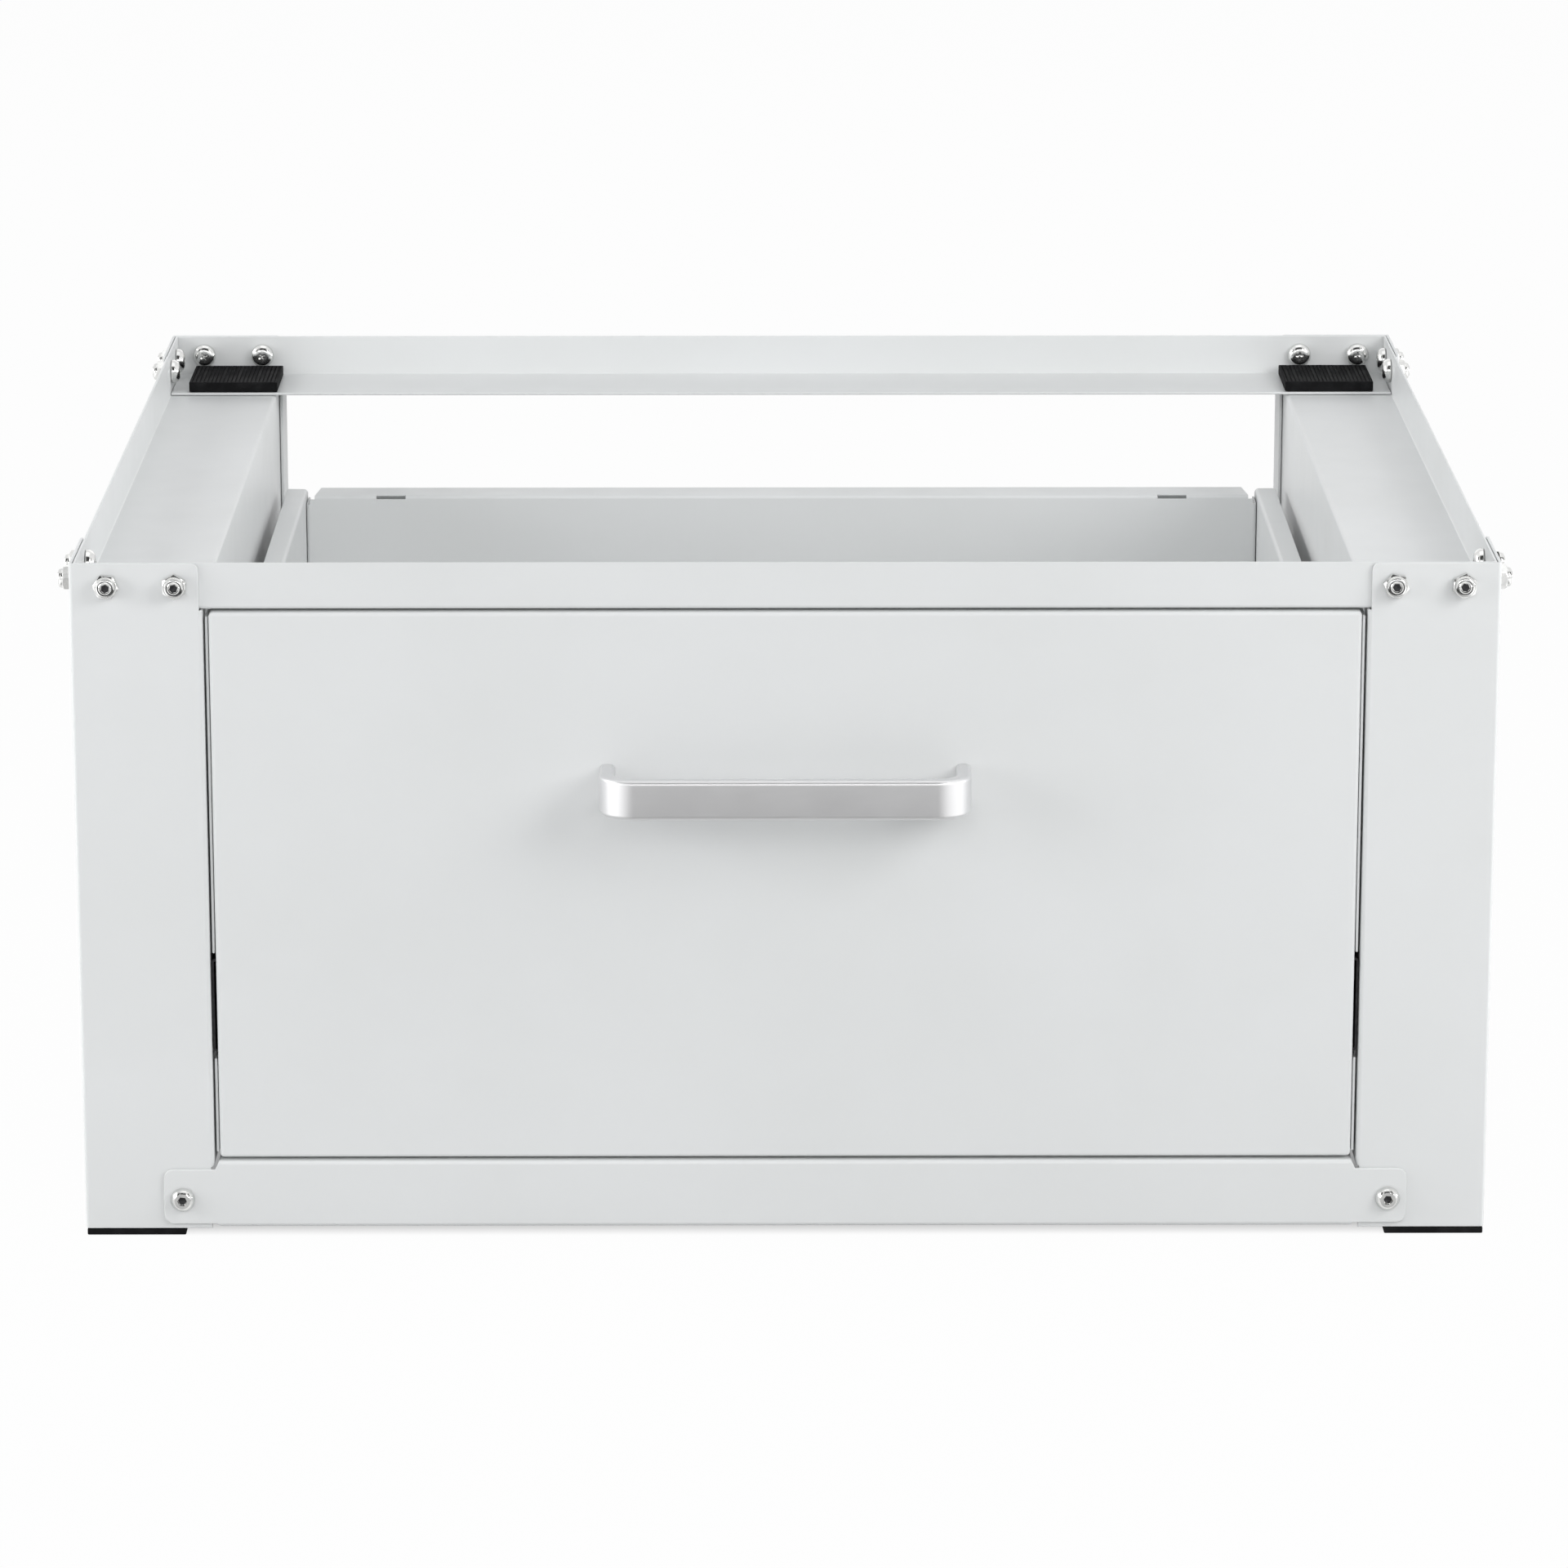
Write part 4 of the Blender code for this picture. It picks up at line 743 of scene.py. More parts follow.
def extruded(outline: Outline, place: Callable[[float, float, float], Vector], low: float,
             high: float) -> bpy.types.Mesh:
    """A closed outline run along a third direction.

    Args:
        outline: Points of the outline.
        place: Where a point (p, q) of the outline lies at a run r.
        low: Where the run starts.
        high: Where it ends.

    Returns:
        The closed mesh.
    """
    shape = bmesh.new()
    rings = [[shape.verts.new(place(p, q, run)) for p, q in outline] for run in (low, high)]
    count = len(outline)
    for number in range(count):
        after = (number + 1) % count
        shape.faces.new((rings[0][number], rings[0][after], rings[1][after], rings[1][number]))
    shape.faces.new(rings[0])
    shape.faces.new(rings[1][::-1])
    return closed_outwards(mesh_from(shape, "extruded"))


def room_inside(loop: bmesh.types.BMLoop) -> float:
    """How far a face reaches in from the edge of one of its loops."""
    start = loop.vert.co
    along = (loop.link_loop_next.vert.co - start).normalized()
    inward = loop.face.normal.cross(along)
    return max((vertex.co - start).dot(inward) for vertex in loop.face.verts)


def bevelled(mesh: bpy.types.Mesh, width: float, segments: int = 2) -> bpy.types.Mesh:
    """A mesh with its sharp outer edges rounded and its flats shaded flat.

    Args:
        mesh: The mesh.
        width: The rounding's width, which is less where a face has no room for it.
        segments: Its steps.

    Returns:
        The new mesh.
    """
    shape = bmesh.new()
    shape.from_mesh(mesh)
    weights = shape.edges.layers.float.new("bevel_weight_edge")
    for edge in shape.edges:
        if edge.is_convex and edge.calc_face_angle() > ROUNDED_TURN:
            room = min(room_inside(loop) for loop in edge.link_loops)
            edge[weights] = min(1.0, ROUNDED_SHARE * room / width)
    shape.to_mesh(mesh)
    shape.free()
    piece = show("bevelled", mesh)
    bevel = piece.modifiers.new("edge", "BEVEL")
    bevel.width = width
    bevel.segments = segments
    bevel.limit_method = "WEIGHT"
    bevel.use_clamp_overlap = False
    return even_flats(settled(piece))


def even_flats(mesh: bpy.types.Mesh, angle: float = 40) -> bpy.types.Mesh:
    """A mesh with its flats shaded flat and its rounds smooth, up to an angle in degrees."""
    piece = show("even_flats", smooth(mesh, angle))
    flats = piece.modifiers.new("flats", "WEIGHTED_NORMAL")
    flats.keep_sharp = True
    return settled(piece)


def cross_recess(reach: float, slot: float, depth: float, top: float) -> list[bpy.types.Mesh]:
    """Cutters for a cross recess.

    Args:
        reach: Half the length of each arm.
        slot: Width of an arm.
        depth: Depth of the recess.
        top: Height of the head's top.

    Returns:
        Two arm cutters and a conical pilot.
    """
    arms = []
    for turn in (0, math.pi / 2):
        arm = block((reach * 2, slot, depth * 2), (0, 0, top))
        for vertex in arm.vertices:
            if vertex.co.z < top:
                vertex.co.x *= RECESS_TAPER
        arm.transform(Matrix.Rotation(turn, 4, "Z"))
        arms.append(arm)
    pilot = turned([(slot * across, top + depth * up) for across, up in RECESS_PILOT], 24)
    return arms + [pilot]


def domed_head(radius: float, height: float, flat: float,
               rim: float) -> list[tuple[float, float]]:
    """Outline of a pan head.

    Args:
        radius: The head's radius.
        height: Its height.
        flat: Radius of its flat top.
        rim: Height of its straight rim.

    Returns:
        Points (radius, height) from the axis to the seat.
    """
    steps = 9
    points = [(0.0, height), (flat, height)]
    for step in range(1, steps + 1):
        angle = math.pi / 2 * step / steps
        points.append((flat + (radius - flat) * math.sin(angle),
                       rim + (height - rim) * math.cos(angle)))
    return points + [(radius, rim * 0.4), (radius - rim * 0.3, 0)]


@dataclass
class LockNut:
    """Hexagon lock nut with a round collar and a polymer ring.

    The collar's rim is measured from the nut's top, and the ring's section from the ring's.
    """

    flats: float = 0.010
    height: float = 0.0055
    hexagon_height: float = 0.0036
    collar: float = 0.0044
    collar_rim: Outline = ((0, 0), (0.0035, 0), (0.0041, -0.0003), (0.0044, -0.001))
    bore: float = 0.00335
    chamfer: float = 0.0011
    washer: float = 0.0004
    lap: float = 0.0005
    ring_drop: float = 0.0006
    ring_section: Outline = ((0.0031, -0.0001), (0.0033, 0), (0.00345, -0.0002),
                             (0.00345, -0.0014), (0.0031, -0.0014), (0.0031, -0.0001))

    def mesh(self) -> bpy.types.Mesh:
        """The nut, its seat at zero."""
        top, shoulder, half = self.height, self.hexagon_height, self.flats / 2
        corner = half / math.cos(math.pi / 6)
        beyond = corner + 0.0004
        cone = turned([(0, shoulder), (half - 0.0002, shoulder),
                       (beyond, shoulder - self.chamfer), (beyond, self.washer),
                       (half, 0), (0, 0)])
        body = cut(hexagon(corner, 0, shoulder), cone, "INTERSECT")
        start = shoulder - self.lap
        collar = turned([*raised(self.collar_rim, top), (self.collar, start), (0, start)])
        drill = turned([(0, 1), (self.bore, 1), (self.bore, -1), (0, -1)])
        return cut(cut(body, collar, "UNION"), drill)

    def ring(self) -> bpy.types.Mesh:
        """The polymer ring inside the collar."""
        return turned(raised(self.ring_section, self.height - self.ring_drop))


@dataclass
class TopBolts:
    """Pan head bolts inside the lips, with lock nuts outside the posts.

    The tip's side and the painted-shade disc in its dish are measured from the bolt's end.
    """

    finishes: Finishes
    workshop: Workshop
    head_radius: float = 0.0060
    head_height: float = 0.0042
    shank: float = 0.003
    seat: float = 0.0033
    from_edge: float = 0.0165
    spacing: float = 0.030
    drop: float = 0.010
    tip: float = 0.0005
    tip_side: Outline = ((0.003, 0.0005), (0.0026, 0), (0.00225, 0), (0.00205, 0.001), (0, 0.001))
    core_radius: float = 0.0019
    core_span: tuple[float, float] = (0.0003, 0.0012)
    core_dish: Outline = ((0, 0.0006), (0.0007, 0.0003), (0.001, -0.001), (0, -0.001))

    @property
    def end(self) -> float:
        """Height of the tip below the seat, as a negative number."""
        return -(self.seat + BENCH.gap + LockNut.height + self.tip)

    def faces(self) -> Seats:
        """Where the bolts cross the posts' outer faces, with the way outwards."""
        spots = []
        z = BENCH.height - self.drop
        for step in range(2):
            away = self.from_edge + self.spacing * step
            spots.append((BENCH.point(BENCH.width / 2 - away, 0, z), Vector((0, -1, 0))))
            spots.append((BENCH.point(BENCH.width / 2, away, z), Vector((1, 0, 0))))
        every = []
        for side in Side:
            for end in End:
                flip = Vector((side.value, 1 if end is End.FRONT else -1, 1))
                every += [(BENCH.across(place, side, end), way * flip) for place, way in spots]
        return every

    def bolt(self) -> bpy.types.Mesh:
        """One bolt: domed head with a cross recess, shank and chamfered tip."""
        outline = domed_head(self.head_radius, self.head_height, 0.0026, 0.0009)
        mesh = turned([*outline, (self.shank, 0), *raised(self.tip_side, self.end)])
        for tool in cross_recess(0.0026, 0.0009, 0.0017, self.head_height):
            mesh = cut(mesh, tool)
        return mesh

    def core(self) -> bpy.types.Mesh:
        """A dark disc in the dish at the tip: painted shade."""
        core = hexagon(self.core_radius, *(self.end + rise for rise in self.core_span))
        return cut(core, turned(raised(self.core_dish, self.end), 24))

    def build(self) -> None:
        """Make the bolts, nuts, rings and the dark discs of painted shade at the tips."""
        faces = self.faces()
        seats = [(place - way * self.seat, -way) for place, way in faces]
        outside = [(place + way * BENCH.gap, way) for place, way in faces]
        nodes = [name for name in frame["nodes"] if name.startswith("top_bolt_")]
        nut = LockNut()
        # The third finish, the runners' black coat, paints shade on the dark discs at the tips.
        zinc, polymer, steel = self.finishes.zinc, self.finishes.polymer, self.finishes.runner
        self.workshop.fasten("top_bolts", self.bolt(), seats, zinc, "frame", nodes, 5)
        self.workshop.fasten("top_nuts", nut.mesh(), outside, zinc, "frame", seed=8)
        self.workshop.fasten("top_nut_rings", nut.ring(), outside, polymer, "frame")
        # Painted shade: dark discs in the dishes at the bolts' tips.
        self.workshop.fasten("top_bolt_cores", self.core(), seats, steel, "frame", seed=5)


@dataclass
class RailScrews:
    """Screws through the bottom rails' tabs, with nuts behind.

    The dark disc of painted shade is measured from the floor of the head's socket.
    """

    finishes: Finishes
    workshop: Workshop
    across: float = 0.271
    height: float = 0.0175
    lap: float = 0.0018
    post_sheet: float = 0.0015
    head: float = 0.0033
    head_side: Outline = ((0.0035, 0.0033), (0.0037, 0.00315), (0.0045, 0.0024), (0.0051, 0.0015),
                          (0.0055, 0.0007), (0.0055, 0.0002), (0.0053, 0))
    shank: float = 0.003
    tip: float = 0.0005
    socket: float = 0.00225
    socket_depth: float = 0.0019
    core_radius: float = 0.00195
    core_span: tuple[float, float] = (0.00015, 0.0007)
    core_dish: Outline = ((0, 0.0012), (0.0015, 0.0008), (0.0009, 0.0004), (0, 0.0002))

    def screw(self) -> bpy.types.Mesh:
        """One screw: button head with a flat top, a bevelled side and a six-sided socket."""
        end = -(self.lap + self.post_sheet + BENCH.gap + LockNut.height + self.tip)
        mesh = turned([(0, self.head), *self.head_side, (self.shank, 0),
                       (self.shank, end + self.tip), (self.shank - self.tip, end), (0, end)])
        return cut(mesh, hexagon(self.socket, self.head - self.socket_depth, self.head + 0.001))

    def core(self) -> bpy.types.Mesh:
        """A dark disc at the bottom of the socket: painted shade."""
        floor = self.head - self.socket_depth
        core = hexagon(self.core_radius, *(floor + rise for rise in self.core_span))
        return cut(core, turned(raised(self.core_dish, floor), 24))

    def build(self) -> None:
        """Make the screws and their nuts."""
        seats, inside = [], []
        for side in Side:
            for end in End:
                way = Vector((0, -1 if end is End.FRONT else 1, 0))
                face = BENCH.across(BENCH.point(self.across, 0, self.height), side, end)
                seats.append((face + way * self.lap, way))
                inside.append((face - way * (self.post_sheet + BENCH.gap), -way))
        nodes = [name for name in frame["nodes"] if name.startswith("bottom_rail_screw_")]
        nut = LockNut()
        # The third finish, the runners' black coat, paints shade on the dark discs in the
        # sockets.
        zinc, polymer, steel = self.finishes.zinc, self.finishes.polymer, self.finishes.runner
        fasten = self.workshop.fasten
        fasten("bottom_rail_screws", self.screw(), seats, zinc, "frame", nodes, 2)
        # Painted shade: dark discs at the bottom of the screws' sockets.
        fasten("bottom_rail_screw_cores", self.core(), seats, steel, "frame", seed=2)
        fasten("bottom_rail_nuts", nut.mesh(), inside, zinc, "frame", seed=4)
        fasten("bottom_rail_nut_rings", nut.ring(), inside, polymer, "frame")


@dataclass
class RubberPads:
    """Ribbed machine pads on the top flanges and grooved feet under the posts."""

    finishes: Finishes
    workshop: Workshop
    pad_side: float = 0.045
    pad_thickness: float = 0.005
    pad_base: float = 0.2905
    from_side: float = 0.0125
    from_end: float = 0.0078
    pad_edge: float = 0.0003
    rib_pitch: float = 0.002
    rib_groove: Outline = ((-0.00045, 0.0002), (-0.00035, -0.0001), (-0.00021, -0.0005),
                           (0.00021, -0.0005), (0.00035, -0.0001), (0.00045, 0.0002))
    rim: float = 0.0009
    foot_side: float = 0.0445
    foot_thickness: float = 0.003
    foot_inset: float = 0.0005
    foot_edge: float = 0.0006
    foot_groove: Outline = ((-0.0006, -0.001), (0.0006, -0.001), (0.0002, 0.0006),
                            (-0.0002, 0.0006))
    foot_grooves: int = 11
    foot_rim: float = 0.003

    def grooved(self, body: bpy.types.Mesh, groove: bpy.types.Mesh, count: int,
                pitch: tuple[float, float, float], top: float) -> bpy.types.Mesh:
        """A block with an even row of grooves across its middle.

        Args:
            body: The block.
            groove: Cutter for one groove, about the origin.
            count: How many there are.
            pitch: Step from one to the next.
            top: Height of the face that they are cut in.

        Returns:
            The new mesh.
        """
        start = Vector([-(count - 1) * step / 2 for step in pitch])
        start.z = top
        grooves = self.workshop.row(groove, [start], count, pitch, self.finishes.rubber)
        return smooth(cut(body, grooves), 40)

    def pad(self) -> bpy.types.Mesh:
        """One machine pad, its underside at zero and its middle over the origin."""
        top = self.pad_thickness
        size = (self.pad_side, self.pad_side, top)
        base = bevelled(block(size, (0, 0, top / 2)), self.pad_edge)
        reach = self.pad_side / 2 - self.rim
        groove = extruded(self.rib_groove, lambda p, q, r: Vector((p, r, q)), -reach, reach)
        count = int(self.pad_side / self.rib_pitch)
        return self.grooved(base, groove, count, (self.rib_pitch, 0, 0), top)

    def foot(self) -> bpy.types.Mesh:
        """One foot, its grooved underside at zero."""
        side, tall = self.foot_side, self.foot_thickness
        body = bevelled(block((side, side, tall), (0, 0, tall / 2)), self.foot_edge, 3)
        reach = side / 2 - self.foot_rim
        groove = extruded(self.foot_groove, lambda p, q, r: Vector((r, p, q)), -reach, reach)
        pitch = (0, 2 * reach / self.foot_grooves, 0)
        return self.grooved(body, groove, self.foot_grooves, pitch, 0)

    def build(self) -> None:
        """Make the pads and the feet."""
        pad_across = (BENCH.width - self.pad_side) / 2 - self.from_side
        pad_place = BENCH.point(pad_across, self.from_end + self.pad_side / 2, self.pad_base)
        foot_across = (BENCH.width - self.foot_side) / 2 - self.foot_inset
        foot_place = BENCH.point(foot_across, self.foot_inset + self.foot_side / 2, 0)
        for kind, master, place in (("machine_pad", self.pad(), pad_place),
                                    ("foot", self.foot(), foot_place)):
            for side in Side:
                for end in End:
                    name = f"{kind}_{end.value}_{side.name.lower()}"
                    copy = master.copy()
                    copy.transform(Matrix.Translation(BENCH.across(place, side, end)))
                    dress(name + "_rubber", copy, self.finishes.rubber, "frame", [name])


@dataclass
class BowHandle:
    """The satin bow on the drawer front and the screws that hold it."""

    finishes: Finishes
    workshop: Workshop
    width: float = 0.164
    reach: float = BENCH.handle_reach
    tall: float = 0.018
    thickness: float = 0.0065
    middle: float = 0.210
    corner: float = 0.0155
    edge: float = 0.002
    front_sheet: float = 0.0012
    screw_length: float = 0.0105

    def build(self) -> None:
        """Make the bow and its screws."""
        half = (self.width - self.thickness) / 2
        reach = self.reach - self.thickness / 2
        shape = bmesh.new()
        corners = [(-half, -BENCH.gap), (-half, -reach), (half, -reach), (half, -BENCH.gap)]
        points = [shape.verts.new(BENCH.point(x, back, self.middle)) for x, back in corners]
        for pair in zip(points, points[1:]):
            shape.edges.new(pair)
        bow = self.workshop.bows.grow(mesh_from(shape, "bow"), {
            "Bend": self.corner - self.thickness / 2, "Thickness": self.thickness,
            "Tall": self.tall, "Edge": self.edge, "Finish": self.finishes.bar.material})
        mesh = even_flats(closed_outwards(bow), 50)
        dress("bow_handle", mesh, self.finishes.bar, "drawer", ["handle"])
        seats = [(BENCH.point(side.value * half, self.front_sheet + BENCH.gap, self.middle),
                  Vector((0, 1, 0))) for side in Side]
        nodes = ["handle_screw_left", "handle_screw_right"]
        self.workshop.fasten("handle_screws", PanScrew(length=self.screw_length).mesh(), seats,
                             self.finishes.zinc, "drawer", nodes, 6)


@dataclass
class PanScrew:
    """A small pan head screw with a cross recess."""

    radius: float = 0.0038
    height: float = 0.0024
    shank: float = 0.002
    length: float = 0.006
    tip: float = 0.0006

    def mesh(self) -> bpy.types.Mesh:
        """The screw, its seat at zero."""
        outline = domed_head(self.radius, self.height, 0.0018, 0.0006)
        outline += [(self.shank, 0), (self.shank, -self.length + self.tip),
                    (self.shank - self.tip, -self.length), (0, -self.length)]
        mesh = turned(outline, 32)
        for tool in cross_recess(0.0018, 0.0007, 0.0011, self.height):
            mesh = cut(mesh, tool)
        return mesh


@dataclass
class BlindRivet:
    """A blind rivet: domed head with its mandrel's bore, and a swollen tail.

    The tail is measured from the end of the grip.
    """

    head: Outline = ((0, 0.0005), (0.0008, 0.0005), (0.0009, 0.0011), (0.0015, 0.00102),
                     (0.0024, 0.000792), (0.0031, 0.000396), (0.0033, 0.00012), (0.0033, 0))
    shank: float = 0.0016
    grip: float = 0.0029
    tail: Outline = ((0.0022, -0.0003), (0.0022, -0.0012), (0.0017, -0.0016), (0, -0.0016))

    def mesh(self) -> bpy.types.Mesh:
        """The rivet, its head's seat at zero."""
        return turned([*self.head, (self.shank, 0), (self.shank, -self.grip),
                       *raised(self.tail, -self.grip)], 28)


@dataclass
class DrawerRivets:
    """Rivets through the drawer's back flanges and through its floor."""

    finishes: Finishes
    workshop: Workshop
    wall: float = 0.2432
    back: float = 0.469
    rises: tuple[float, ...] = (0.06424, 0.1612, 0.21372)
    floor_across: float = 0.2332
    floor_top: float = 0.0423
    floor_start: float = 0.0028
    floor_run: float = 0.4572
    shares: tuple[float, ...] = (0.10, 0.50, 0.90)

    def spots(self, side: Side) -> Seats:
        """A side's rivet seats, with the way that the heads look."""
        x = side.value
        out = Vector((x, 0, 0))
        up = Vector((0, 0, 1))
        across = self.wall + BENCH.gap
        spots = [(BENCH.point(x * across, self.back, z), out) for z in self.rises]
        spots += [(BENCH.point(x * self.floor_across, self.floor_start + self.floor_run * share,
                               self.floor_top + BENCH.gap), up) for share in self.shares]
        return spots

    def build(self) -> None:
        """Make the rivets."""
        seats = self.spots(Side.LEFT) + self.spots(Side.RIGHT)
        self.workshop.fasten("drawer_rivets", BlindRivet().mesh(), seats, self.finishes.zinc,
                             "drawer")


@dataclass
class BallRunner:
    """One telescopic ball runner."""

    finishes: Finishes
    workshop: Workshop
    side: Side
    cabinet_face: float = 0.2562
    middle: float = 0.107
    start: float = 0.003
    length: float = 0.450
    shorter: float = 0.005
    drawer_shorter: float = 0.003
    cabinet_sheet: float = 0.0012
    middle_sheet: float = 0.0010
    cage_sheet: float = 0.0006
    outer_ball: tuple[float, float] = (0.0050, 0.0196)
    inner_ball: tuple[float, float] = (0.0084, 0.0152)
    ball_radius: float = 0.0014
    ball_play: float = 0.0001
    race: float = 0.0023
    middle_race: float = 0.0022
    first_ball: float = 0.1455
    row_length: float = 0.160
    ball_pitch: float = 0.010
    cage_end: float = 0.008
    outer_web: float = 0.0019
    inner_web: float = 0.0046
    middle_web: float = 0.0031
    drawer_web: float = 0.0121
    fold: float = 0.0012
    middle_fold: float = 0.0005
    edge: float = 0.0002
    short_slot: tuple[float, float] = (0.012, 0.0046)
    long_slot: tuple[float, float] = (0.016, 0.006)
    cabinet_slots: tuple[float, ...] = (0.060, 0.128, 0.262, 0.330, 0.398)
    middle_slots: tuple[float, ...] = (0.030, 0.095, 0.225, 0.355, 0.425)
    drawer_slots: tuple[float, ...] = (0.085, 0.150, 0.215, 0.280, 0.345)
    panel_seat: float = 0.2598
    drawer_seat: float = 0.2419
    screw_backs: tuple[float, ...] = (0.01695, 0.219, 0.426)
    drawer_screw_backs: tuple[float, ...] = (0.039, 0.426)
    panel_screw: float = 0.0044
    drawer_screw: float = 0.0028
    spacer: Outline = ((0.0022, 0.0017), (0.0047, 0.0017), (0.005, 0.0014), (0.005, 0.0003),
                       (0.0047, 0), (0.0022, 0), (0.0022, 0.0017))
    stop: Outline = ((0.0014, -0.011), (0.0095, -0.011), (0.0095, 0.011), (0.0014, 0.011))
    stop_edge: float = 0.0008
    stop_gap: float = 0.0008

    @property
    def end(self) -> float:
        """How far back the cabinet member ends."""
        return self.start + self.length

    def place(self, across: float, up: float, back: float) -> Vector:
        """A point of the runner's own section at a distance back."""
        return BENCH.point(self.side.value * (self.cabinet_face - across), back, self.middle + up)

    def named(self, piece: str) -> str:
        """The name of a piece of this runner."""
        return f"runner_{self.side.name.lower()}_{piece}"

    def member(self, upper: Outline, low: float, high: float, sheet: float) -> bpy.types.Mesh:
        """A member from its section's upper half."""
        path = [(across, -up) for across, up in reversed(upper)] + list(upper)
        return extruded(walled(path, sheet), self.place, low, high)

    def slots(self, across: float, backs: Sequence[float],
              size: tuple[float, float]) -> bpy.types.Mesh:
        """Cutters for oblong slots through a member's web.

        Args:
            across: Where the web is.
            backs: How far back each slot's middle is.
            size: A slot's length and height.

        Returns:
            One mesh of all the cutters.
        """
        radius = size[1] / 2
        straight = size[0] / 2 - radius
        outline = arc((straight, 0), radius, -90, 90, 8) + arc((-straight, 0), radius, 90, 270, 8)
        return joined(extruded(outline, lambda p, q, r, b=back: self.place(r, q, b + p),
                               across - 0.002, across + 0.002) for back in backs)

    def channel(self, name: str, body: str, upper: Outline, high: float, sheet: float,
                slots: bpy.types.Mesh) -> None:
        """Make one slotted member and show it.

        Args:
            name: Which member it is.
            body: The body that it rides on.
            upper: The upper half of its section.
            high: How far back it ends.
            sheet: Its thickness.
            slots: The cutters for its slots.
        """
        mesh = bevelled(cut(self.member(upper, self.start, high, sheet), slots), self.edge)
        dress(self.named(f"{name}_channel"), mesh, self.finishes.runner, body,
              [self.named(f"{name}_member")])

    def members(self) -> None:
        """Make the three members."""
        fold, web = self.fold, self.cabinet_sheet / 2
        race = arc(self.outer_ball, self.race, 140, 10, 12)
        bend = arc((web + fold, race[0][1] - fold), fold, 180, 90, 4)
        self.channel("cabinet", "frame", bend + race, self.end, self.cabinet_sheet,
                     self.slots(web, self.cabinet_slots, self.short_slot))
        race = (arc(self.outer_ball, self.middle_race, 235, 285, 5)
                + arc(self.inner_ball, self.middle_race, 105, 10, 10))
        bend = arc((self.middle_web + self.middle_fold, race[0][1] - self.middle_fold),
                   self.middle_fold, 180, 90, 3)
        self.channel("middle", f"middle_{self.side.name.lower()}", bend + race,
                     self.end - self.shorter, self.middle_sheet,
                     self.slots(self.middle_web, self.middle_slots, self.long_slot))
        race = arc(self.inner_ball, self.race, 310, 210, 10)
        bend = arc((self.drawer_web - fold, race[0][1] - fold), fold, 0, 90, 4)
        self.channel("drawer", "drawer", bend + race, self.end - self.drawer_shorter,
                     self.cabinet_sheet,
                     self.slots(self.drawer_web, self.drawer_slots, self.short_slot))

    def cage(self, name: str, web: float, ball: tuple[float, float]) -> None:
        """Make one cage and its balls.

        Args:
            name: Which cage it is.
            web: Where its web is.
            ball: Where its upper row of balls is, in the runner's section.
        """
        body = f"cage_{self.side.name.lower()}_{name}"
        last = self.first_ball + self.row_length
        sheet = self.cage_sheet
        upper = [(web, ball[1] - sheet), (web + sheet, ball[1]), ball]
        cage = self.member(upper, self.first_ball - self.cage_end, last + self.cage_end, sheet)
        count = round(self.row_length / self.ball_pitch) + 1
        starts = [self.place(ball[0], sign * ball[1], self.first_ball) for sign in (1, -1)]
        pitch = (0, self.ball_pitch, 0)
        socket = sphere(self.ball_radius + self.ball_play)
        sockets = self.workshop.row(socket, starts, count, pitch, self.finishes.zinc)
        dress(self.named(name + "_ball_cage"), smooth(cut(cage, sockets), 40), self.finishes.zinc,
              body, [self.named(name + "_cage")])
        balls = self.workshop.row(sphere(self.ball_radius), starts, count, pitch,
                                  self.finishes.ball)
        dress(self.named(name + "_balls"), balls, self.finishes.ball, body)

    def screws(self) -> None:
        """Make the screws, the spacers and the rear stop."""
        out = Vector((self.side.value, 0, 0))

        def seats(across: float, backs: Sequence[float], way: Vector) -> Seats:
            """Seats in a row along the runner."""
            return [(BENCH.point(self.side.value * across, back, self.middle), way)
                    for back in backs]

        fasten, zinc = self.workshop.fasten, self.finishes.zinc
        fasten(self.named("panel_screws"), PanScrew(length=self.panel_screw).mesh(),
               seats(self.panel_seat, self.screw_backs, out), zinc, "frame", seed=7)
        fasten(self.named("spacers"), turned(self.spacer, 40),
               seats(self.cabinet_face + 0.0001, self.screw_backs[1:], out), zinc, "frame")
        fasten(self.named("drawer_screws"), PanScrew(length=self.drawer_screw).mesh(),
               seats(self.drawer_seat, self.drawer_screw_backs, -out), zinc, "drawer", seed=9)
        stop = bevelled(extruded(self.stop, self.place, self.end - self.shorter + self.stop_gap,
                                 self.end), self.stop_edge, 3)
        dress(self.named("rear_stop"), stop, self.finishes.polymer, "frame")

    def build(self) -> None:
        """Make the whole runner."""
        self.members()
        self.cage("outer", self.outer_web, self.outer_ball)
        self.cage("inner", self.inner_web, self.inner_ball)
        self.screws()


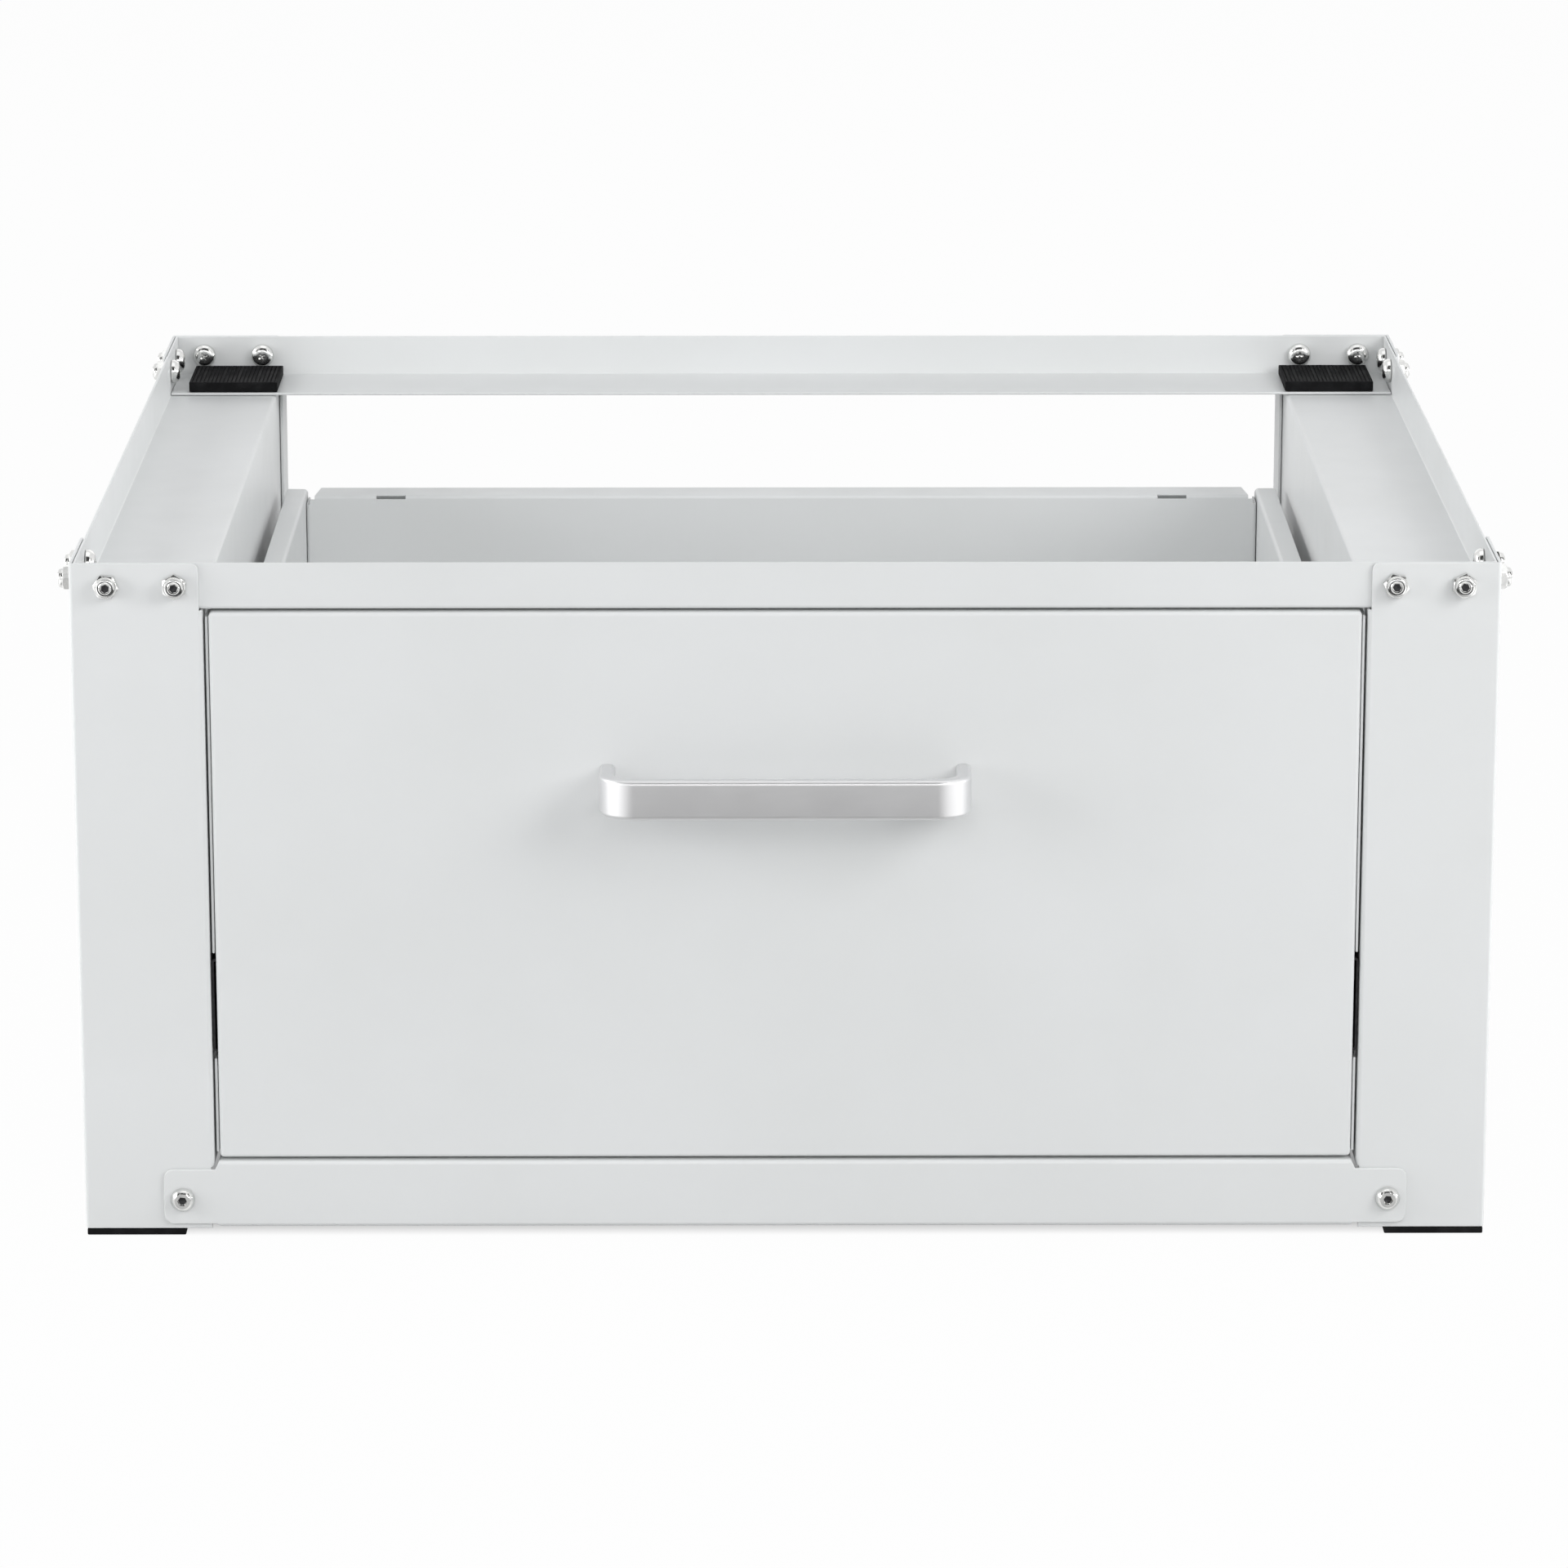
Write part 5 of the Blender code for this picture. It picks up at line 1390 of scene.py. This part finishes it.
@dataclass
class SheetParts:
    """Every coated sheet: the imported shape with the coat's soft edges."""

    finishes: Finishes
    rivets: DrawerRivets
    frame_edge: float = 0.0005
    drawer_edge: float = 0.00036
    flat_turn: float = math.radians(0.03)
    rivet_radius: float = 0.0036
    rivet_reach: float = 0.006

    def unplug(self, shape: bmesh.types.BMesh, point: Vector, way: Vector) -> None:
        """Take a rivet off the sheet that it is one solid with, and close the sheet.

        Args:
            shape: The sheet.
            point: The rivet's seat.
            way: Its axis.
        """
        def near(vertex: bmesh.types.BMVert) -> bool:
            """Whether a vertex belongs to the rivet."""
            off = vertex.co - point
            along = off.dot(way)
            return (abs(along) < self.rivet_reach
                    and (off - way * along).length < self.rivet_radius)

        picked = {vertex for vertex in shape.verts if near(vertex)}
        faces = [face for face in shape.faces if all(vertex in picked for vertex in face.verts)]
        bmesh.ops.delete(shape, geom=faces, context="FACES")
        open_edges = [edge for edge in shape.edges if edge.is_boundary]
        bmesh.ops.holes_fill(shape, edges=open_edges, sides=0)
        bmesh.ops.recalc_face_normals(shape, faces=shape.faces)

    def soft_copy(self, node: str, edge: float, plugs: Seats) -> bpy.types.Mesh:
        """A soft-edged copy of a node's shape.

        Args:
            node: The node's name.
            edge: Width of the rounding along its edges.
            plugs: Axes, as pairs of point and direction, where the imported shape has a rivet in
                one solid with the sheet, which is a piece of its own here.

        Returns:
            The mesh.
        """
        shape = bmesh.new()
        shape.from_mesh(frame["nodes"][node].data)
        bmesh.ops.remove_doubles(shape, verts=shape.verts, dist=2e-6)
        bmesh.ops.recalc_face_normals(shape, faces=shape.faces)
        for point, way in plugs:
            self.unplug(shape, point, way)
        bmesh.ops.dissolve_limit(shape, angle_limit=self.flat_turn, verts=shape.verts,
                                 edges=shape.edges, delimit=set())
        return bevelled(mesh_from(shape, node), edge)

    def build(self) -> None:
        """Stand a coated copy in for each white node."""
        slots = {part["node"]: part["material_slot"] for part in frame["record"]["subparts"]}
        for body, nodes in frame["record"]["behaviour"]["bodies"].items():
            edge = self.frame_edge if body == "frame" else self.drawer_edge
            for node in nodes:
                if slots[node] != self.finishes.coat.slot:
                    continue
                plugs = []
                if node.startswith("drawer_side_"):
                    plugs = self.rivets.spots(Side[node.rsplit("_", 1)[1].upper()])
                mesh = self.soft_copy(node, edge, plugs)
                dress(node + "_sheet", mesh, self.finishes.coat, body, [node])


@dataclass(frozen=True)
class Panel:
    """A flat lamp or card: its name, place, size, and strength in watts or brightness."""

    name: str
    place: tuple[float, float, float]
    size: tuple[float, float]
    strength: float
    lying: bool = False


LAMPS = (Panel("right_edge", (2.6, 0.1, 0.43), (0.8, 0.2), 17),
         Panel("right_box", (1.5, -1.2, 1.2), (1.0, 1.0), 17.2),
         Panel("left_low", (-1.6, -0.75, 0.6), (1.0, 0.8), 9.0),
         Panel("left_side", (-1.9, 0.1, 0.9), (1.0, 1.0), 12.0),
         Panel("front_fill", (0, -3.4, 1.6), (3.0, 1.6), 24.5),
         Panel("overhead", (0, 0.1, 2.8), (1.8, 1.8), 3.7),
         Panel("back_fill", (0, 3.0, 1.4), (3.0, 2.0), 4.8))
CARDS = (Panel("near_card", (0, -0.42, 0.001), (0.9, 0.28), 0.62, True),
         Panel("grey_card", (0, -1.80, 0.001), (0.60, 2.48), 0.02, True),
         Panel("white_card_left", (-1.35, -0.6, 0.001), (1.7, 1.6), 1.5, True),
         Panel("dark_card_left", (-1.15, -0.79, 1.07), (0.5, 0.9), 0.03),
         Panel("white_card_right", (1.35, -0.6, 0.001), (1.7, 1.6), 1.5, True),
         Panel("dark_card_right", (1.15, -0.79, 1.07), (0.5, 0.9), 0.03),
         Panel("dark_card", (0, -1.9, 2.0), (2.4, 2.0), 0.04))


@dataclass
class Studio:
    """Camera, lamps, cards, floor and world."""

    lens: float = 152.0
    sensor: float = 36.0
    sight: float = 100.0
    camera_back: float = 2.838
    camera_height: float = 0.947
    camera_x: float = -0.012
    tilt: float = 14.56
    yaw: float = 0.23
    aim_back: float = 0.16
    aim_height: float = 0.15
    floor_size: float = 30.0
    floor_drop: float = 0.0002
    floor_grey: float = 0.60
    floor_white: float = 0.97
    shade_edge: float = 0.035
    soft_light: tuple[float, float, float] = (0.96, 0.98, 1)
    soft_strength: float = 0.47

    def camera(self) -> None:
        """The camera at the photograph's angle."""
        data = bpy.data.cameras.new("camera")
        data.lens = self.lens
        data.sensor_width = self.sensor
        data.clip_end = self.sight
        camera = bpy.data.objects.new("camera", data)
        camera.location = BENCH.point(self.camera_x, -self.camera_back, self.camera_height)
        camera.rotation_euler = (math.radians(90 - self.tilt), 0, math.radians(-self.yaw))
        bpy.context.scene.collection.objects.link(camera)
        bpy.context.scene.camera = camera

    def stood(self, thing: bpy.types.Object, panel: Panel, front: str) -> None:
        """Put a lamp or card in its place, with its front axis up or towards the pedestal."""
        place = Vector(panel.place)
        target = BENCH.point(0, self.aim_back, self.aim_height)
        way = Vector((0, 0, 1)) if panel.lying else target - place
        thing.location = place
        thing.rotation_euler = way.to_track_quat(front, "Y").to_euler()

    def lamp(self, panel: Panel) -> None:
        """A rectangular soft lamp."""
        data = bpy.data.lights.new(panel.name, "AREA")
        data.shape = "RECTANGLE"
        data.size, data.size_y = panel.size
        data.energy = panel.strength
        lamp = bpy.data.objects.new(panel.name, data)
        self.stood(lamp, panel, "-Z")
        bpy.context.scene.collection.objects.link(lamp)

    def card(self, panel: Panel) -> None:
        """A grey card that shows in gloss alone, so that bright metal has something to mirror."""
        card = self.sheet(panel.name, 1)
        card.scale = (*panel.size, 1)
        self.stood(card, panel, "Z")
        grey = (panel.strength,) * 3
        material, sketch = new_sketch(panel.name, grey)
        sketch.close(sketch.add("ShaderNodeEmission", inputs={"Color": (*grey, 1)}))
        card.data.materials.append(material)
        card.visible_camera = False
        card.visible_diffuse = False
        card.visible_shadow = False
        card.visible_transmission = False

    @staticmethod
    def sheet(name: str, side: float) -> bpy.types.Object:
        """A flat square in the scene."""
        shape = bmesh.new()
        bmesh.ops.create_grid(shape, x_segments=1, y_segments=1, size=side / 2)
        return show(name, mesh_from(shape, name))

    def floor(self) -> None:
        """A pale floor that shows white and keeps a soft shadow."""
        floor = self.sheet("floor", self.floor_size)
        floor.location = (0, BENCH.front + BENCH.depth / 2, -self.floor_drop)
        material, sketch = new_sketch("floor_white", (1, 1, 1))
        seen = sketch.seen()
        place = sketch.add("ShaderNodeTexCoord", output="Object")
        split = sketch.add("ShaderNodeSeparateXYZ", inputs={0: place}).socket.node
        covered: Wire | float = 1.0
        for label, half in (("X", BENCH.width / 2), ("Y", BENCH.depth / 2)):
            away = sketch.add("ShaderNodeMath", {"operation": "ABSOLUTE"},
                              {0: Wire(sketch, split.outputs[label])})
            covered = sketch.spread(away, half - self.shade_edge, half, 1, 0) * covered
        matt = sketch.add("ShaderNodeBsdfDiffuse", inputs={"Color": (*(self.floor_grey,) * 3, 1)})
        white = sketch.add("ShaderNodeEmission")
        factor = seen * self.floor_white * (1 - covered)
        mixed = sketch.add("ShaderNodeMixShader", inputs={0: factor, 1: matt, 2: white})
        below = sketch.add("ShaderNodeNewGeometry", output="Backfacing")
        clear = sketch.add("ShaderNodeBsdfTransparent")
        sketch.close(sketch.add("ShaderNodeMixShader", inputs={0: below, 1: mixed, 2: clear}))
        floor.data.materials.append(material)

    def world(self) -> None:
        """White to the camera and in reflections, softer as a light."""
        world = bpy.data.worlds.new("studio")
        bpy.context.scene.world = world
        world.use_nodes = True
        sketch = Sketch(world.node_tree)
        white = sketch.add("ShaderNodeBackground", inputs={"Color": (1, 1, 1, 1)})
        soft = sketch.add("ShaderNodeBackground", inputs={"Color": (*self.soft_light, 1),
                                                          "Strength": self.soft_strength})
        mixed = sketch.add("ShaderNodeMixShader", inputs={0: sketch.seen(), 1: soft, 2: white})
        sketch.close(mixed, "World")

    def build(self) -> None:
        """Set up the studio."""
        self.camera()
        self.floor()
        self.world()
        for panel in LAMPS:
            self.lamp(panel)
        for panel in CARDS:
            self.card(panel)
        bpy.context.scene.view_settings.view_transform = "Standard"


def main() -> None:
    """Build every sub-assembly in order."""
    logging.basicConfig(level=logging.INFO, format="%(name)s: %(message)s")
    finishes = Finishes()
    workshop = Workshop()
    Studio().build()
    rivets = DrawerRivets(finishes, workshop)
    SheetParts(finishes, rivets).build()
    rivets.build()
    TopBolts(finishes, workshop).build()
    RailScrews(finishes, workshop).build()
    RubberPads(finishes, workshop).build()
    BowHandle(finishes, workshop).build()
    for side in Side:
        BallRunner(finishes, workshop, side).build()


if __name__ == "__main__":
    main()
